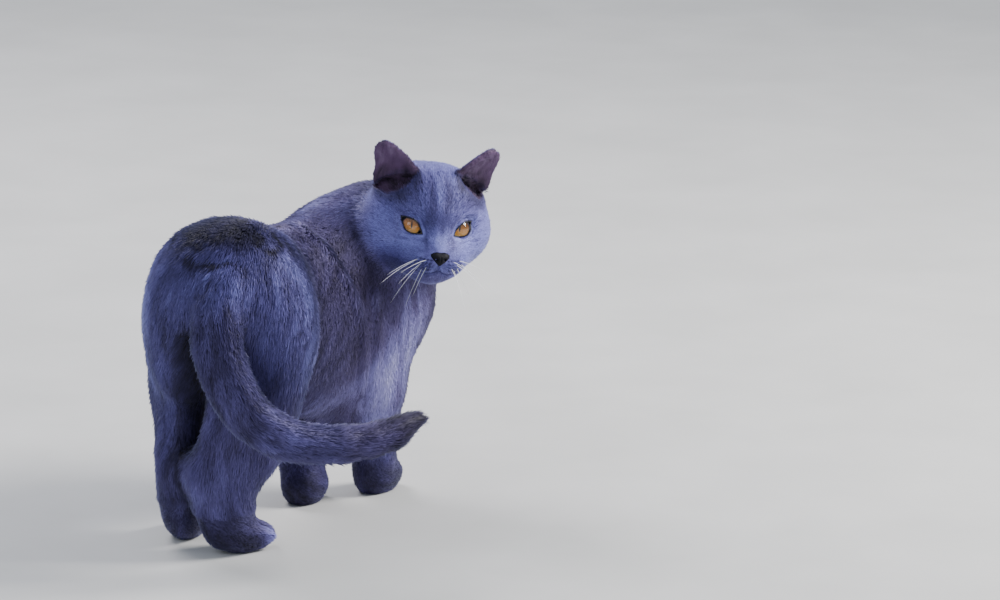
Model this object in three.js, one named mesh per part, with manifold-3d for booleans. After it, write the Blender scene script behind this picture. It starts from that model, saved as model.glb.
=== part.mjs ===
// A stout blue shorthair cat, life size and still. It stands on four feet in mid-stride, with its head
// turned back over its right shoulder and its tail swept out to the right.
// Millimetres, +Z up, floor at z = 0. The chest faces -Y and the cat's left side is towards +X.
//
// The flesh is three smooth solids, torso, head and tail, each a blend of ellipsoids and tapers laid
// along the bones. Thin flat cuts part them into nodes. Every size is to the tips of the coat.
import * as THREE from "three";
import { mergeVertices } from "three/addons/utils/BufferGeometryUtils.js";
import Module from "manifold-3d";

const wasm = await Module();
wasm.setup();
const { Manifold, Mesh } = wasm;

// Driving dimensions.
const RUMP_HEIGHT = 322;
const SHOULDER_HEIGHT = 300;
const HEAD_WIDTH = 132;
const EAR_HEIGHT = 67;
const EYE_DIAMETER = 21;
const TAIL_ROOT_RADIUS = 28;
const TAIL_TIP_RADIUS = 16;
const CUT_GAP = 0.3;
const SOCKET_GAP = 1;
const TAIL_ROOM = 1.2;

// Facet sizes, coarse on the trunk and fine on the face.
const TRUNK_FACET = 26;
const LEG_FACET = 16;
const TAIL_FACET = 15;
const HEAD_FACET = 9.5;
const MUZZLE_FACET = 8;
const ROOM_FACET = 12;

const deg = THREE.MathUtils.degToRad;
const PELVIS_YAW = deg(16);

const COAT = { color: 0x5c5f70, roughness: 0.85, metalness: 0 };
const NOSE_LEATHER = { color: 0x22222a, roughness: 0.5, metalness: 0 };
const EYE = { color: 0xc9741a, roughness: 0.1, metalness: 0 };

// A place by the cat's own directions: ahead of the hind feet, to its left, and up from the floor.
const at = (ahead, left, up) => new THREE.Vector3(left, -ahead, up);
const turned = (yaw, pitch = 0, roll = 0) =>
  new THREE.Quaternion().setFromEuler(new THREE.Euler(pitch, roll, yaw, "ZXY"));

const plane = (point, normal) =>
  new THREE.Plane().setFromNormalAndCoplanarPoint(normal.normalize(), point);
const flip = (cut) => cut.clone().negate();
const level = (up) => plane(at(0, 0, up), at(0, 0, 1));
const ahead = (distance) => plane(at(distance, 0, 0), at(1, 0, 0));
const leftOf = (distance) => plane(at(0, distance, 0), at(0, 1, 0));
const FLOOR = level(0);

// ---- Forms: each is a function from a point to its signed distance ----

function ellipsoid(centre, across, along, tall, turn = new THREE.Quaternion()) {
  const toLocal = turn.clone().invert();
  const p = new THREE.Vector3();
  return (q) => {
    p.copy(q).sub(centre).applyQuaternion(toLocal);
    const x = p.x / across;
    const y = p.y / along;
    const z = p.z / tall;
    const size = Math.hypot(x, y, z);
    return (size * (size - 1)) / Math.max(Math.hypot(x / across, y / along, z / tall), 1e-6);
  };
}

// A cone with a ball at each end, radius r1 at a and r2 at b.
function taper(a, b, r1, r2) {
  const ab = b.clone().sub(a);
  const length2 = ab.lengthSq();
  const shrink = r1 - r2;
  const slant2 = length2 - shrink * shrink;
  const fromA = new THREE.Vector3();
  const off = new THREE.Vector3();
  return (q) => {
    fromA.copy(q).sub(a);
    const along = fromA.dot(ab);
    const beyond = along - length2;
    const off2 = off.copy(fromA).multiplyScalar(length2).addScaledVector(ab, -along).lengthSq();
    const along2 = along * along * length2;
    const beyond2 = beyond * beyond * length2;
    const limit = Math.sign(shrink) * shrink * shrink * off2;
    if (Math.sign(beyond) * slant2 * beyond2 > limit) return Math.sqrt(off2 + beyond2) / length2 - r2;
    if (Math.sign(along) * slant2 * along2 < limit) return Math.sqrt(off2 + along2) / length2 - r1;
    return (Math.sqrt((off2 * slant2) / length2) + along * shrink) / length2 - r1;
  };
}

// Least distance, rounded over a width k where two forms meet.
const smoothMin = (a, b, k) => {
  const h = Math.max(k - Math.abs(a - b), 0) / k;
  return Math.min(a, b) - (h * h * k) / 4;
};
const blend = (k, ...forms) => (q) => forms.reduce((d, form) => smoothMin(d, form(q), k), 1e3);

// Tapers along a chain of joints.
const limb = (k, joints, radii) =>
  blend(k, ...joints.slice(1).map((joint, i) => taper(joints[i], joint, radii[i], radii[i + 1])));
const bothSides = (make) => [make(1), make(-1)];

// ---- Torso: the pelvis looks a little to the left, and the spine curves to the right ahead of it ----

const pelvis = at(22, -14, RUMP_HEIGHT - 68);
const pelvisTurn = turned(PELVIS_YAW);
const fromPelvis = (ahead, left, up) => at(ahead, left, up).applyQuaternion(pelvisTurn).add(pelvis);

const trunk = blend(
  30,
  ellipsoid(pelvis, 68, 78, 68, pelvisTurn),
  ...bothSides((s) => ellipsoid(fromPelvis(0, s * 36, -42), 44, 68, 84, pelvisTurn)),
  ellipsoid(at(95, 0, 207), 64, 84, 88),
  ellipsoid(at(150, 0, 168), 60, 78, 76),
  ellipsoid(at(165, 2, 206), 62, 84, 80),
  ellipsoid(at(222, -2, SHOULDER_HEIGHT - 72), 46, 58, 70, turned(-0.2)),
  ellipsoid(at(228, -16, 188), 60, 58, 80, turned(-0.3)),
  ellipsoid(at(274, -32, 198), 52, 48, 66, turned(-0.4)),
  ellipsoid(at(205, -14, 146), 44, 62, 58),
);

// A hind leg stands in its own upright plane, turned outwards. Places in it: along, up, out to the left.
function hindLeg(hip, hockFoot, yaw) {
  const turn = turned(yaw);
  const inLeg = (along, up, out = 0) => at(along, out, up).applyQuaternion(turn).add(hockFoot);
  return blend(
    14,
    limb(20, [hip, inLeg(56, 142)], [50, 39]),
    ellipsoid(inLeg(38, 112), 30, 44, 50, turn),
    ellipsoid(inLeg(20, 72), 23, 34, 44, turn),
    limb(8, [inLeg(-2, 84), inLeg(12, 32)], [18, 19]),
    limb(8, [inLeg(24, 60), inLeg(24, 30)], [21, 19]),
    ellipsoid(inLeg(40, 14), 21, 36, 17, turn),
  );
}

const foreLeg = (shoulder, elbow, wrist, paw, toes) =>
  blend(
    12,
    limb(14, [shoulder, elbow], [38, 34]),
    limb(10, [elbow, wrist, paw], [32, 21, 19]),
    limb(8, [paw, toes], [19, 19]),
  );

const legs = [
  hindLeg(at(30, 30, 215), at(-20, 19, 0), deg(24)),
  hindLeg(at(26, -52, 215), at(-33, -22, 0), deg(-32)),
  foreLeg(at(225, 20, 190), at(205, 22, 125), at(172, 5, 45), at(161, -1, 17), at(180, -3, 15)),
  foreLeg(at(240, -44, 180), at(226, -44, 115), at(231, -43, 45), at(231, -40, 17), at(253, -44, 15)),
];

// ---- Head: places in it run to its left, back from the face, and up ----

const HEAD_CENTRE = at(262, -85.5, 277.5);
const HEAD_TURN = turned(deg(-132), deg(-5), deg(8));
const headScale = HEAD_WIDTH / 132;
const inHead = (left, back, up) =>
  new THREE.Vector3(left, back, up).multiplyScalar(headScale).applyQuaternion(HEAD_TURN).add(HEAD_CENTRE);
const headEllipsoid = (left, back, up, across, along, tall, nod = 0) =>
  ellipsoid(
    inHead(left, back, up),
    across * headScale,
    along * headScale,
    tall * headScale,
    HEAD_TURN.clone().multiply(turned(0, nod)),
  );
const headTaper = (from, to, r1, r2) =>
  taper(inHead(...from), inHead(...to), r1 * headScale, r2 * headScale);

const skull = blend(
  16,
  headEllipsoid(0, 16, 12, 54, 50, 46),
  headEllipsoid(0, -12, 14, 50, 28, 37),
  ...bothSides((s) => headEllipsoid(s * 20, 5, 25, 27, 28, 28)),
  headEllipsoid(33, 9, -7, 36, 36, 34),
  headEllipsoid(-33.5, 14, -18, 38, 38, 36),
  headEllipsoid(0, -12, -28, 44, 35, 25),
  headTaper([0, -24, 2], [0, -40, -22], 17, 10),
  ...bothSides((s) => headEllipsoid(s * 13, -37.5, -33, 17, 13, 13)),
  headEllipsoid(0, -31, -44, 16, 13, 11),
);
const neck = blend(
  24,
  taper(at(240, 2, 241), at(280, -8, 252), 54, 48),
  taper(at(280, -8, 252), inHead(0, 34, -2), 48, 42),
);

const torso = blend(24, blend(18, trunk, ...legs), neck);

// ---- Tail: its root leaves the rump, and the rest hangs clear, then sweeps forward on the right ----

const tailCurve = new THREE.CatmullRomCurve3([
  at(8, -24, 278),
  at(-34, -44, 264),
  at(-61, -56, 226),
  at(-66, -74, 184),
  at(-56, -98, 148),
  at(-34, -127, 129),
  at(-4, -159, 124),
  at(28, -187, 128),
  at(53, -202, 141),
]);
const TAIL_STEPS = 14;
const tailJoints = tailCurve.getSpacedPoints(TAIL_STEPS);
const tailRadius = (share) => {
  const taperedTo = THREE.MathUtils.lerp(TAIL_ROOT_RADIUS, TAIL_TIP_RADIUS, share ** 1.2);
  return taperedTo * Math.min(1, Math.sqrt(1.12 - share) * 2.2);
};
const tail = limb(5, tailJoints, tailJoints.map((_, i) => tailRadius(i / TAIL_STEPS)));

// The tail leaves the torso at a cut across it.
const acrossTail = (share) => plane(tailCurve.getPointAt(share), tailCurve.getTangentAt(share));
const tailRoot = acrossTail(0.2);
const body = blend(4, torso, (q) => Math.max(tail(q), tailRoot.distanceToPoint(q) - 12));

// ---- Facets ----

const solidOf = (positions, faces) =>
  new Manifold(
    new Mesh({ numProp: 3, vertProperties: new Float32Array(positions), triVerts: new Uint32Array(faces) }),
  );

// Surface nets: one vertex in each cell that the surface crosses, then a quad round each crossed edge.
function facet(form, box, cell) {
  const counts = box.getSize(new THREE.Vector3()).divideScalar(cell).ceil().addScalar(1).toArray();
  const strides = [1, counts[0], counts[0] * counts[1]];
  const values = new Float32Array(counts[0] * counts[1] * counts[2]);
  const q = new THREE.Vector3();
  const corner = (i, j, k) => q.set(i, j, k).multiplyScalar(cell).add(box.min);
  const cells = (margin, visit) => {
    for (let k = margin; k < counts[2] - 1; k++)
      for (let j = margin; j < counts[1] - 1; j++)
        for (let i = margin; i < counts[0] - 1; i++) visit(i, j, k, i + strides[1] * j + strides[2] * k);
  };
  for (let k = 0; k < counts[2]; k++)
    for (let j = 0; j < counts[1]; j++)
      for (let i = 0; i < counts[0]; i++)
        values[i + strides[1] * j + strides[2] * k] = form(corner(i, j, k));

  const vertexIn = new Map();
  const vertices = [];
  cells(0, (i, j, k, here) => {
    const sum = new THREE.Vector3();
    let crossings = 0;
    for (let axis = 0; axis < 3; axis++) {
      for (let side = 0; side < 4; side++) {
        const offset = [0, 0, 0];
        offset[(axis + 1) % 3] = side & 1;
        offset[(axis + 2) % 3] = side >> 1;
        const start = here + offset[0] * strides[0] + offset[1] * strides[1] + offset[2] * strides[2];
        const from = values[start];
        const to = values[start + strides[axis]];
        if (from < 0 === to < 0) continue;
        offset[axis] = from / (from - to);
        sum.add(q.fromArray(offset));
        crossings++;
      }
    }
    if (!crossings) return;
    vertexIn.set(here, vertices.length);
    vertices.push(sum.divideScalar(crossings).add(q.set(i, j, k)).multiplyScalar(cell).add(box.min));
  });

  const faces = [];
  cells(1, (i, j, k, here) => {
    for (let axis = 0; axis < 3; axis++) {
      const inside = values[here] < 0;
      if (inside === values[here + strides[axis]] < 0) continue;
      const a = strides[(axis + 1) % 3];
      const b = strides[(axis + 2) % 3];
      const quad = [here - a - b, here - b, here, here - a].map((c) => vertexIn.get(c));
      if (!inside) quad.reverse();
      faces.push(quad[0], quad[1], quad[2], quad[0], quad[2], quad[3]);
    }
  });
  settle(form, vertices, cell);
  return solidOf(vertices.flatMap((v) => v.toArray()), faces);
}

// Moves each vertex along the form's slope onto its surface.
function settle(form, vertices, cell) {
  const h = 0.5;
  const q = new THREE.Vector3();
  const slope = new THREE.Vector3();
  for (const v of vertices) {
    for (let step = 0; step < 3; step++) {
      slope.set(
        form(q.set(v.x + h, v.y, v.z)) - form(q.set(v.x - h, v.y, v.z)),
        form(q.set(v.x, v.y + h, v.z)) - form(q.set(v.x, v.y - h, v.z)),
        form(q.set(v.x, v.y, v.z + h)) - form(q.set(v.x, v.y, v.z - h)),
      );
      slope.divideScalar(2 * h);
      const move = form(v) / Math.max(slope.lengthSq(), 0.25);
      v.addScaledVector(slope, -THREE.MathUtils.clamp(move, -cell / 3, cell / 3));
    }
  }
}

// The box round the part of a form that lies on the kept side of every cut.
const REACH = new THREE.Box3(new THREE.Vector3(-250, -360, -20), new THREE.Vector3(110, 120, 370));
const COARSE = 12;
const samples = new Map();
function sample(form) {
  if (!samples.has(form)) {
    const points = [];
    for (let z = REACH.min.z; z <= REACH.max.z; z += COARSE)
      for (let y = REACH.min.y; y <= REACH.max.y; y += COARSE)
        for (let x = REACH.min.x; x <= REACH.max.x; x += COARSE) {
          const p = new THREE.Vector3(x, y, z);
          if (form(p) < COARSE) points.push(p);
        }
    samples.set(form, points);
  }
  return samples.get(form);
}

// ---- Ears, nose leather and eyeballs: small solids with their own outlines ----

// An ear is a leaf, cupped forwards. Its half width falls from the base to a round tip.
const EAR_BASE_HALF_WIDTH = 27;
const EAR_ROOT_DEPTH = 9;
const EAR_LEAN = 7;
const EAR_OUTER_CURL = 8;
const EAR_OUTER_REACH = 0.88;
const EAR_INNER_CURL = 4;
const EAR_ROWS = 8;
const EAR_COLUMNS = 8;
function ear(side) {
  const root = inHead(side * 22.5, 0, 25);
  const turn = HEAD_TURN.clone().multiply(turned(side * 0.42, 0.537, side * 0.336));
  const positions = [];
  for (let row = 0; row <= EAR_ROWS; row++) {
    const fromTip = ((EAR_ROWS - row + 0.12) / (EAR_ROWS + 0.12)) ** 1.5;
    const up = EAR_HEIGHT - fromTip * (EAR_HEIGHT + EAR_ROOT_DEPTH);
    const halfWidth = EAR_BASE_HALF_WIDTH * Math.min(1, 1 - up / EAR_HEIGHT + 0.004) ** 0.38;
    const wall = THREE.MathUtils.lerp(3.6, 5.4, fromTip);
    for (let column = 0; column <= 2 * EAR_COLUMNS + 1; column++) {
      const inner = column > EAR_COLUMNS;
      const across = ((inner ? 2 * EAR_COLUMNS + 1 - column : column) / EAR_COLUMNS) * 2 - 1;
      const [curl, reach] = across * side > 0 ? [EAR_OUTER_CURL, EAR_OUTER_REACH] : [EAR_INNER_CURL, 1];
      const back = -curl * (halfWidth / EAR_BASE_HALF_WIDTH) * across ** 2;
      const thickness = wall * (1 - 0.5 * across ** 2);
      const lean = side * EAR_LEAN * (up / EAR_HEIGHT) ** 2;
      const face = back + ((inner ? -1 : 1) * thickness) / 2;
      const place = new THREE.Vector3(lean + reach * halfWidth * across, face, up);
      positions.push(...place.applyQuaternion(turn).add(root).toArray());
    }
  }
  const ring = 2 * EAR_COLUMNS + 2;
  const faces = [];
  for (let start = 0; start < EAR_ROWS * ring; start += ring)
    for (let i = 0; i < ring; i++) {
      const next = (i + 1) % ring;
      faces.push(start + next, start + i, start + ring + i);
      faces.push(start + next, start + ring + i, start + ring + next);
    }
  const last = EAR_ROWS * ring;
  for (let i = 0; i < EAR_COLUMNS; i++) {
    const facing = ring - 1 - i;
    faces.push(i, i + 1, facing, i + 1, facing - 1, facing);
    faces.push(last + i + 1, last + i, last + facing, last + i + 1, last + facing, last + facing - 1);
  }
  return solidOf(positions, faces);
}

// A ball whose points may be moved before it becomes a solid.
function ball(radius, place, columns = 14, rows = 8) {
  const sphere = new THREE.SphereGeometry(radius, columns, rows);
  sphere.deleteAttribute("normal");
  sphere.deleteAttribute("uv");
  const { attributes, index } = mergeVertices(sphere);
  const point = new THREE.Vector3();
  const positions = [];
  for (let i = 0; i < attributes.position.count; i++)
    positions.push(...place(point.fromBufferAttribute(attributes.position, i)).toArray());
  return solidOf(positions, index.array);
}

// The nose leather is broad above and narrow below.
const NOSE_HALF = { across: 9.6, along: 6, tall: 6.8 };
function noseLeather(gap) {
  const shape = ({ x, y, z }) =>
    inHead(
      (NOSE_HALF.across + gap) * x * (0.74 - 0.5 * y),
      (NOSE_HALF.along + gap) * z - 50,
      -(NOSE_HALF.tall + gap) * y - 29,
    );
  return ball(1, shape, 12, 8);
}

function eyeball(side, gap) {
  const centre = inHead(side * 25, -28.5, -0.5);
  return ball(EYE_DIAMETER / 2 + gap, (p) => p.clone().add(centre));
}

// ---- Parting: planes cut a form, and each node keeps one side of each of its planes ----

// The half of the gap on a cut's kept side.
const trimOf = (cut) => [cut.normal.toArray(), (cut === FLOOR ? 0 : CUT_GAP / 2) - cut.constant];

const nodes = [];
function part(form, facetSize, cuts, tree) {
  if (Array.isArray(tree)) {
    const [cut, front, behind] = tree;
    part(form, facetSize, [...cuts, cut], front);
    part(form, facetSize, [...cuts, flip(cut)], behind);
    return;
  }
  const [name, cell] = tree.split(":");
  const size = cell ? Number(cell) : facetSize;
  const spare = size * 1.2;
  const kept = (q) => Math.max(form(q), ...cuts.map((cut) => -cut.distanceToPoint(q) - spare));
  const box = new THREE.Box3();
  const near = (p) => cuts.every((cut) => cut.distanceToPoint(p) > -spare - COARSE);
  for (const p of sample(form).filter(near)) box.expandByPoint(p);
  box.expandByScalar(COARSE + size);
  const solid = cuts.reduce((kind, cut) => kind.trimByPlane(...trimOf(cut)), facet(kept, box, size));
  nodes.push({ name, solid, material: COAT });
}

const shoulderCut = plane(at(200, 0, 300), at(0.955, 0, -0.296));
const neckCut = plane(at(236, 0, 298), at(0.794, 0, 0.607));
const betweenForelegs = plane(at(209, -15, 0), at(-0.56, 0.83, 0));
const betweenHindLegs = plane(at(-27, -1, 0), at(0.06, 1, 0));

// The part of a leg above a level, and the two below it, at finer facets.
const leg = (high, upper, low, middle, foot) => [
  level(high),
  `${upper}:${LEG_FACET}`,
  [level(low), `${middle}:${LEG_FACET}`, `${foot}:${LEG_FACET}`],
];

part(body, TRUNK_FACET, [FLOOR], [
  shoulderCut,
  [
    neckCut,
    "neck",
    [
      level(84),
      [leftOf(18), "shoulder_left", [leftOf(-40), "chest", "shoulder_right"]],
      [
        betweenForelegs,
        [level(40), `forearm_left:${LEG_FACET}`, `forepaw_left:${LEG_FACET}`],
        [level(40), `forearm_right:${LEG_FACET}`, `forepaw_right:${LEG_FACET}`],
      ],
    ],
  ],
  [
    ahead(125),
    "ribcage",
    [
      ahead(72),
      "loin",
      [
        level(168),
        "rump",
        [
          betweenHindLegs,
          leg(100, "thigh_left", 50, "shank_left", "hind_foot_left"),
          leg(100, "thigh_right", 50, "shank_right", "hind_foot_right"),
        ],
      ],
    ],
  ],
]);

part(tail, TAIL_FACET, [tailRoot], [
  acrossTail(0.5),
  [acrossTail(0.76), "tail_tip", "tail_middle"],
  "tail_base",
]);

const headPlane = (point, normal) =>
  plane(inHead(...point), new THREE.Vector3(...normal).applyQuaternion(HEAD_TURN));
part(skull, HEAD_FACET, [], [
  headPlane([0, -32, -10], [0, -0.94, -0.35]),
  [headPlane([0, -50, -41], [0, 0.12, -1]), `lower_jaw:${MUZZLE_FACET}`, `muzzle:${MUZZLE_FACET}`],
  "head",
]);

// ---- Room: the torso gives way to the head and the tail, and the head to the eyes and the nose ----

const boxOf = (form) => new THREE.Box3().setFromPoints(sample(form)).expandByScalar(COARSE);
const roomFor = (form, gap) => facet((q) => form(q) - gap, boxOf(form), ROOM_FACET);
function giveWay(names, room) {
  for (const node of nodes) if (names.includes(node.name)) node.solid = node.solid.subtract(room);
}
const headRoom = roomFor(skull, SOCKET_GAP);
giveWay(["neck", "chest", "shoulder_left", "shoulder_right"], headRoom);
giveWay(["rump", "thigh_right"], roomFor(tail, TAIL_ROOM).trimByPlane(...trimOf(tailRoot)));
giveWay(["muzzle"], noseLeather(CUT_GAP));
nodes.push({ name: "nose", solid: noseLeather(0), material: NOSE_LEATHER });
for (const [side, name] of [[1, "left"], [-1, "right"]]) {
  giveWay(["head", "muzzle"], eyeball(side, CUT_GAP));
  nodes.push({ name: `eye_${name}`, solid: eyeball(side, 0), material: EYE });
  nodes.push({ name: `ear_${name}`, solid: ear(side).subtract(headRoom), material: COAT });
}

// ---- Show ----

const cat = new THREE.Group();
cat.name = "cat";
for (const { name, solid, material } of nodes) {
  const { vertProperties, triVerts } = solid.getMesh();
  const geometry = new THREE.BufferGeometry()
    .setAttribute("position", new THREE.BufferAttribute(vertProperties, 3))
    .setIndex(new THREE.BufferAttribute(triVerts, 1));
  geometry.computeVertexNormals();
  const mesh = new THREE.Mesh(geometry, new THREE.MeshStandardMaterial(material));
  mesh.name = name;
  cat.add(mesh);
}

// The origin is on the floor, under the middle of the cat's box.
const box = new THREE.Box3().setFromObject(cat);
const middle = box.getCenter(new THREE.Vector3());
cat.position.set(-middle.x, -middle.y, -box.min.z);

export default cat;
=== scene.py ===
import math

import bmesh
import bpy
import numpy as np
from mathutils import Matrix, Vector
from mathutils.bvhtree import BVHTree
from mathutils.kdtree import KDTree


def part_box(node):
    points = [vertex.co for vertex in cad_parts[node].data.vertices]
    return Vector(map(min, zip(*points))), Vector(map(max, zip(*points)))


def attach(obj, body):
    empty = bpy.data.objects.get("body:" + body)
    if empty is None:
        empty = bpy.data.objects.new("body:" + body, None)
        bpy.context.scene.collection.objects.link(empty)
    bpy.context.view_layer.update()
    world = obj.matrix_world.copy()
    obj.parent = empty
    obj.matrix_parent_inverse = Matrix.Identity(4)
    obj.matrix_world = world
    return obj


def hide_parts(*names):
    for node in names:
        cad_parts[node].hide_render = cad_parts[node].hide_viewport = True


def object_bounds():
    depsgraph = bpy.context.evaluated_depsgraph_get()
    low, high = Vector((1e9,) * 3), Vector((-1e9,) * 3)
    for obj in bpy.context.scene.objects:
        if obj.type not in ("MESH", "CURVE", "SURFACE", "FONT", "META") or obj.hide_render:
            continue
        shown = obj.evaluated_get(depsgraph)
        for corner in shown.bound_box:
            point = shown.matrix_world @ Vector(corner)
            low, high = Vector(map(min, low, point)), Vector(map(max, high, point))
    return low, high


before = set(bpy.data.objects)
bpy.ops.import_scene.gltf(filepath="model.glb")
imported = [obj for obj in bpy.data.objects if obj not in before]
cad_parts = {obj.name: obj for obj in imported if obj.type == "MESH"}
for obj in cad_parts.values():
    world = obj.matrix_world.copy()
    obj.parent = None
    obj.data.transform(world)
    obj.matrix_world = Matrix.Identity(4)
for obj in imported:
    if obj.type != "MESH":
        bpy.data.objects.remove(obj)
cad_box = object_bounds()


# ---- The view: behind the cat and to its right, from a standing person's height ----
# A long lens a few metres away looks down a little on the rump, and the cat looks back at it.

VIEW_HEADING = math.radians(31.6)
VIEW_DOWN = math.radians(14.5)
VIEW_DISTANCE = 5.0
LENS_MM = 183.6
AIM_RIGHT, AIM_AHEAD, AIM_HEIGHT = 0.1183, 0.1185, 0.2157


def put_in_scene(name, data):
    """A new object in the scene, from a mesh, curve, lamp or camera."""
    item = bpy.data.objects.new(name, data)
    bpy.context.scene.collection.objects.link(item)
    return item


middle = (cad_box[0] + cad_box[1]) / 2
aim = Vector((middle.x - AIM_RIGHT, middle.y - AIM_AHEAD, AIM_HEIGHT))
looking = Vector(
    (
        math.sin(VIEW_HEADING) * math.cos(VIEW_DOWN),
        -math.cos(VIEW_HEADING) * math.cos(VIEW_DOWN),
        -math.sin(VIEW_DOWN),
    )
)
camera = put_in_scene("camera", bpy.data.cameras.new("camera"))
camera.data.lens = LENS_MM
camera.location = aim - looking * VIEW_DISTANCE
camera.rotation_euler = looking.to_track_quat("-Z", "Y").to_euler()
bpy.context.scene.camera = camera


# ---- Floor and lamps ----
# A pale matt floor. A broad soft lamp stands high on the viewer's right, as low sun would, a weaker
# one fills from the left, and an even pale sky lights the rest.

FLOOR_SIZE = 30.0
FLOOR_SHADES = [(0.3, (0.60, 0.61, 0.60)), (0.7, (0.66, 0.67, 0.66))]


def mesh_of(bm, name):
    """A new mesh from a finished bmesh."""
    mesh = bpy.data.meshes.new(name)
    bm.to_mesh(mesh)
    bm.free()
    return mesh


bm = bmesh.new()
bmesh.ops.create_grid(bm, x_segments=1, y_segments=1, size=FLOOR_SIZE / 2)
floor = put_in_scene("floor", mesh_of(bm, "floor"))


def new_material(name, settings):
    """A material, its node tree and its Principled shader, with these values on the shader's sockets."""
    material = bpy.data.materials.new(name)
    material.use_nodes = True
    shader = material.node_tree.nodes["Principled BSDF"]
    for socket, value in settings.items():
        shader.inputs[socket].default_value = value
    return material, material.node_tree, shader


def object_place(tree):
    return tree.nodes.new("ShaderNodeTexCoord").outputs["Object"]


def noise_node(tree, vector, scale, detail=3.0, roughness=0.55):
    """A noise pattern of that many ripples to the metre, between 0 and 1."""
    node = tree.nodes.new("ShaderNodeTexNoise")
    node.inputs["Scale"].default_value = scale
    node.inputs["Detail"].default_value = detail
    node.inputs["Roughness"].default_value = roughness
    tree.links.new(vector, node.inputs["Vector"])
    return node.outputs["Fac"]


def ramp_node(tree, value, stops):
    """Colours along a value, from (position, (red, green, blue)) stops."""
    node = tree.nodes.new("ShaderNodeValToRGB")
    ramp = node.color_ramp
    for _ in stops[2:]:
        ramp.elements.new(0.5)
    for element, (position, colour) in zip(ramp.elements, stops):
        element.position = position
        element.color = (*colour, 1)
    tree.links.new(value, node.inputs["Fac"])
    return node.outputs["Color"]


def mottled(name, scale, shades, settings):
    """A material whose colour wanders between two shades on a fine grain."""
    material, tree, shader = new_material(name, settings)
    tint = ramp_node(tree, noise_node(tree, object_place(tree), scale), shades)
    tree.links.new(tint, shader.inputs["Base Color"])
    return material, tree, shader


paint, _, _ = mottled("floor_paint", 6, FLOOR_SHADES, {"Roughness": 0.85})
floor.data.materials.append(paint)

# Each lamp: how far right, up and behind the viewer's side of the cat, its size, watts and colour.
LAMPS = [
    ("key_lamp", 2.2, 1.6, -0.3, 1.0, 115, (1.0, 0.96, 0.93)),
    ("fill_lamp", -1.4, 1.3, 1.8, 1.6, 16, (0.85, 0.9, 1.0)),
    ("back_lamp", -1.2, 1.9, -1.6, 1.2, 55, (1.0, 0.96, 1.0)),
]
LAMP_AIM_HEIGHT = 0.2
SKY_COLOUR, SKY_STRENGTH = (0.82, 0.88, 1.0, 1), 0.55
sideways = looking.cross(Vector((0, 0, 1))).normalized()
flat = Vector((looking.x, looking.y, 0)).normalized()
target = Vector((middle.x, middle.y, LAMP_AIM_HEIGHT))
for name, right, up, back, size, watts, colour in LAMPS:
    lamp = put_in_scene(name, bpy.data.lights.new(name, "AREA"))
    lamp.data.size = size
    lamp.data.energy = watts
    lamp.data.color = colour
    lamp.location = target + sideways * right - flat * back + Vector((0, 0, up))
    lamp.rotation_euler = (target - lamp.location).to_track_quat("-Z", "Y").to_euler()
world = bpy.data.worlds.new("sky")
world.use_nodes = True
background = world.node_tree.nodes["Background"]
background.inputs["Color"].default_value = SKY_COLOUR
background.inputs["Strength"].default_value = SKY_STRENGTH
bpy.context.scene.world = world


# ---- Skin ----
# One unbroken hide over the whole animal, from the nose to the tail's end. It lies under the outline
# by the depth of the coat, so that the coat's tips reach the outline.

MM = 0.001
EYES = ["eye_left", "eye_right"]
FLESH = [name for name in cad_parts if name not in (*EYES, "nose")]
EARS = ["ear_left", "ear_right"]
FACE = ["head", "muzzle", "lower_jaw", *EARS]
PAWS = ["hind_foot_left", "hind_foot_right", "forepaw_left", "forepaw_right"]
TAIL = ["tail_base", "tail_middle", "tail_tip"]
CUT_COVER = 0.7 * MM
EAR_COVER = 1.9 * MM
SKIN_GRAIN = 2.7 * MM
LOWEST = 0.3 * MM

solids = []
solid_mesh = bpy.data.meshes.new("solids")
bm = bmesh.new()
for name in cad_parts:
    solid = bmesh.new()
    solid.from_mesh(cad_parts[name].data)
    bmesh.ops.remove_doubles(solid, verts=solid.verts, dist=0.01 * MM)
    solid.normal_update()
    solids.append(
        (name, [v.co.copy() for v in solid.verts], [[v.index for v in f.verts] for f in solid.faces])
    )
    cover = EAR_COVER if name in EARS else CUT_COVER
    for v in solid.verts:
        v.co += v.normal * cover
    solid.to_mesh(solid_mesh)
    bm.from_mesh(solid_mesh)
    solid.free()
bm.to_mesh(solid_mesh)
bm.free()
blank = put_in_scene("blank", solid_mesh)
remesh = blank.modifiers.new("one skin", "REMESH")
remesh.mode = "VOXEL"
remesh.voxel_size = SKIN_GRAIN
graph = bpy.context.evaluated_depsgraph_get()
skin_mesh = bpy.data.meshes.new_from_object(blank.evaluated_get(graph))
bpy.data.objects.remove(blank)
skin_mesh.name = "skin"


def read(owner, field, width, dtype=np.float64):
    """One value of each item of a mesh, such as the vertices' places, as an array."""
    out = np.empty(len(owner) * width, dtype)
    owner.foreach_get(field, out)
    return out.reshape(-1, width) if width > 1 else out


def unit(vectors):
    return vectors / np.maximum(np.linalg.norm(vectors, axis=-1, keepdims=True), 1e-12)


def smooth_step(low, high, values):
    t = np.clip((values - low) / (high - low), 0, 1)
    return t * t * (3 - 2 * t)


def bell(off, width=1.0):
    """1 where a value is 0, falling off over about that width."""
    return np.exp(-((off / width) ** 2))


def spread(values, edges, rounds, weight=0.5):
    """Values at the vertices, each drawn towards its neighbours' mean in each round."""
    a, b = edges.T
    n = len(values)
    flat = values.reshape(n, -1).astype(float)
    pull = np.broadcast_to(np.asarray(weight, float), (n,))[:, None]
    near = np.maximum(np.bincount(edges.ravel(), minlength=n), 1)[:, None]
    for _ in range(rounds):
        total = np.stack(
            [
                np.bincount(a, column[b], n) + np.bincount(b, column[a], n)
                for column in flat.T
            ],
            1,
        )
        flat = flat + pull * (total / near - flat)
    return flat.reshape(values.shape)


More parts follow.
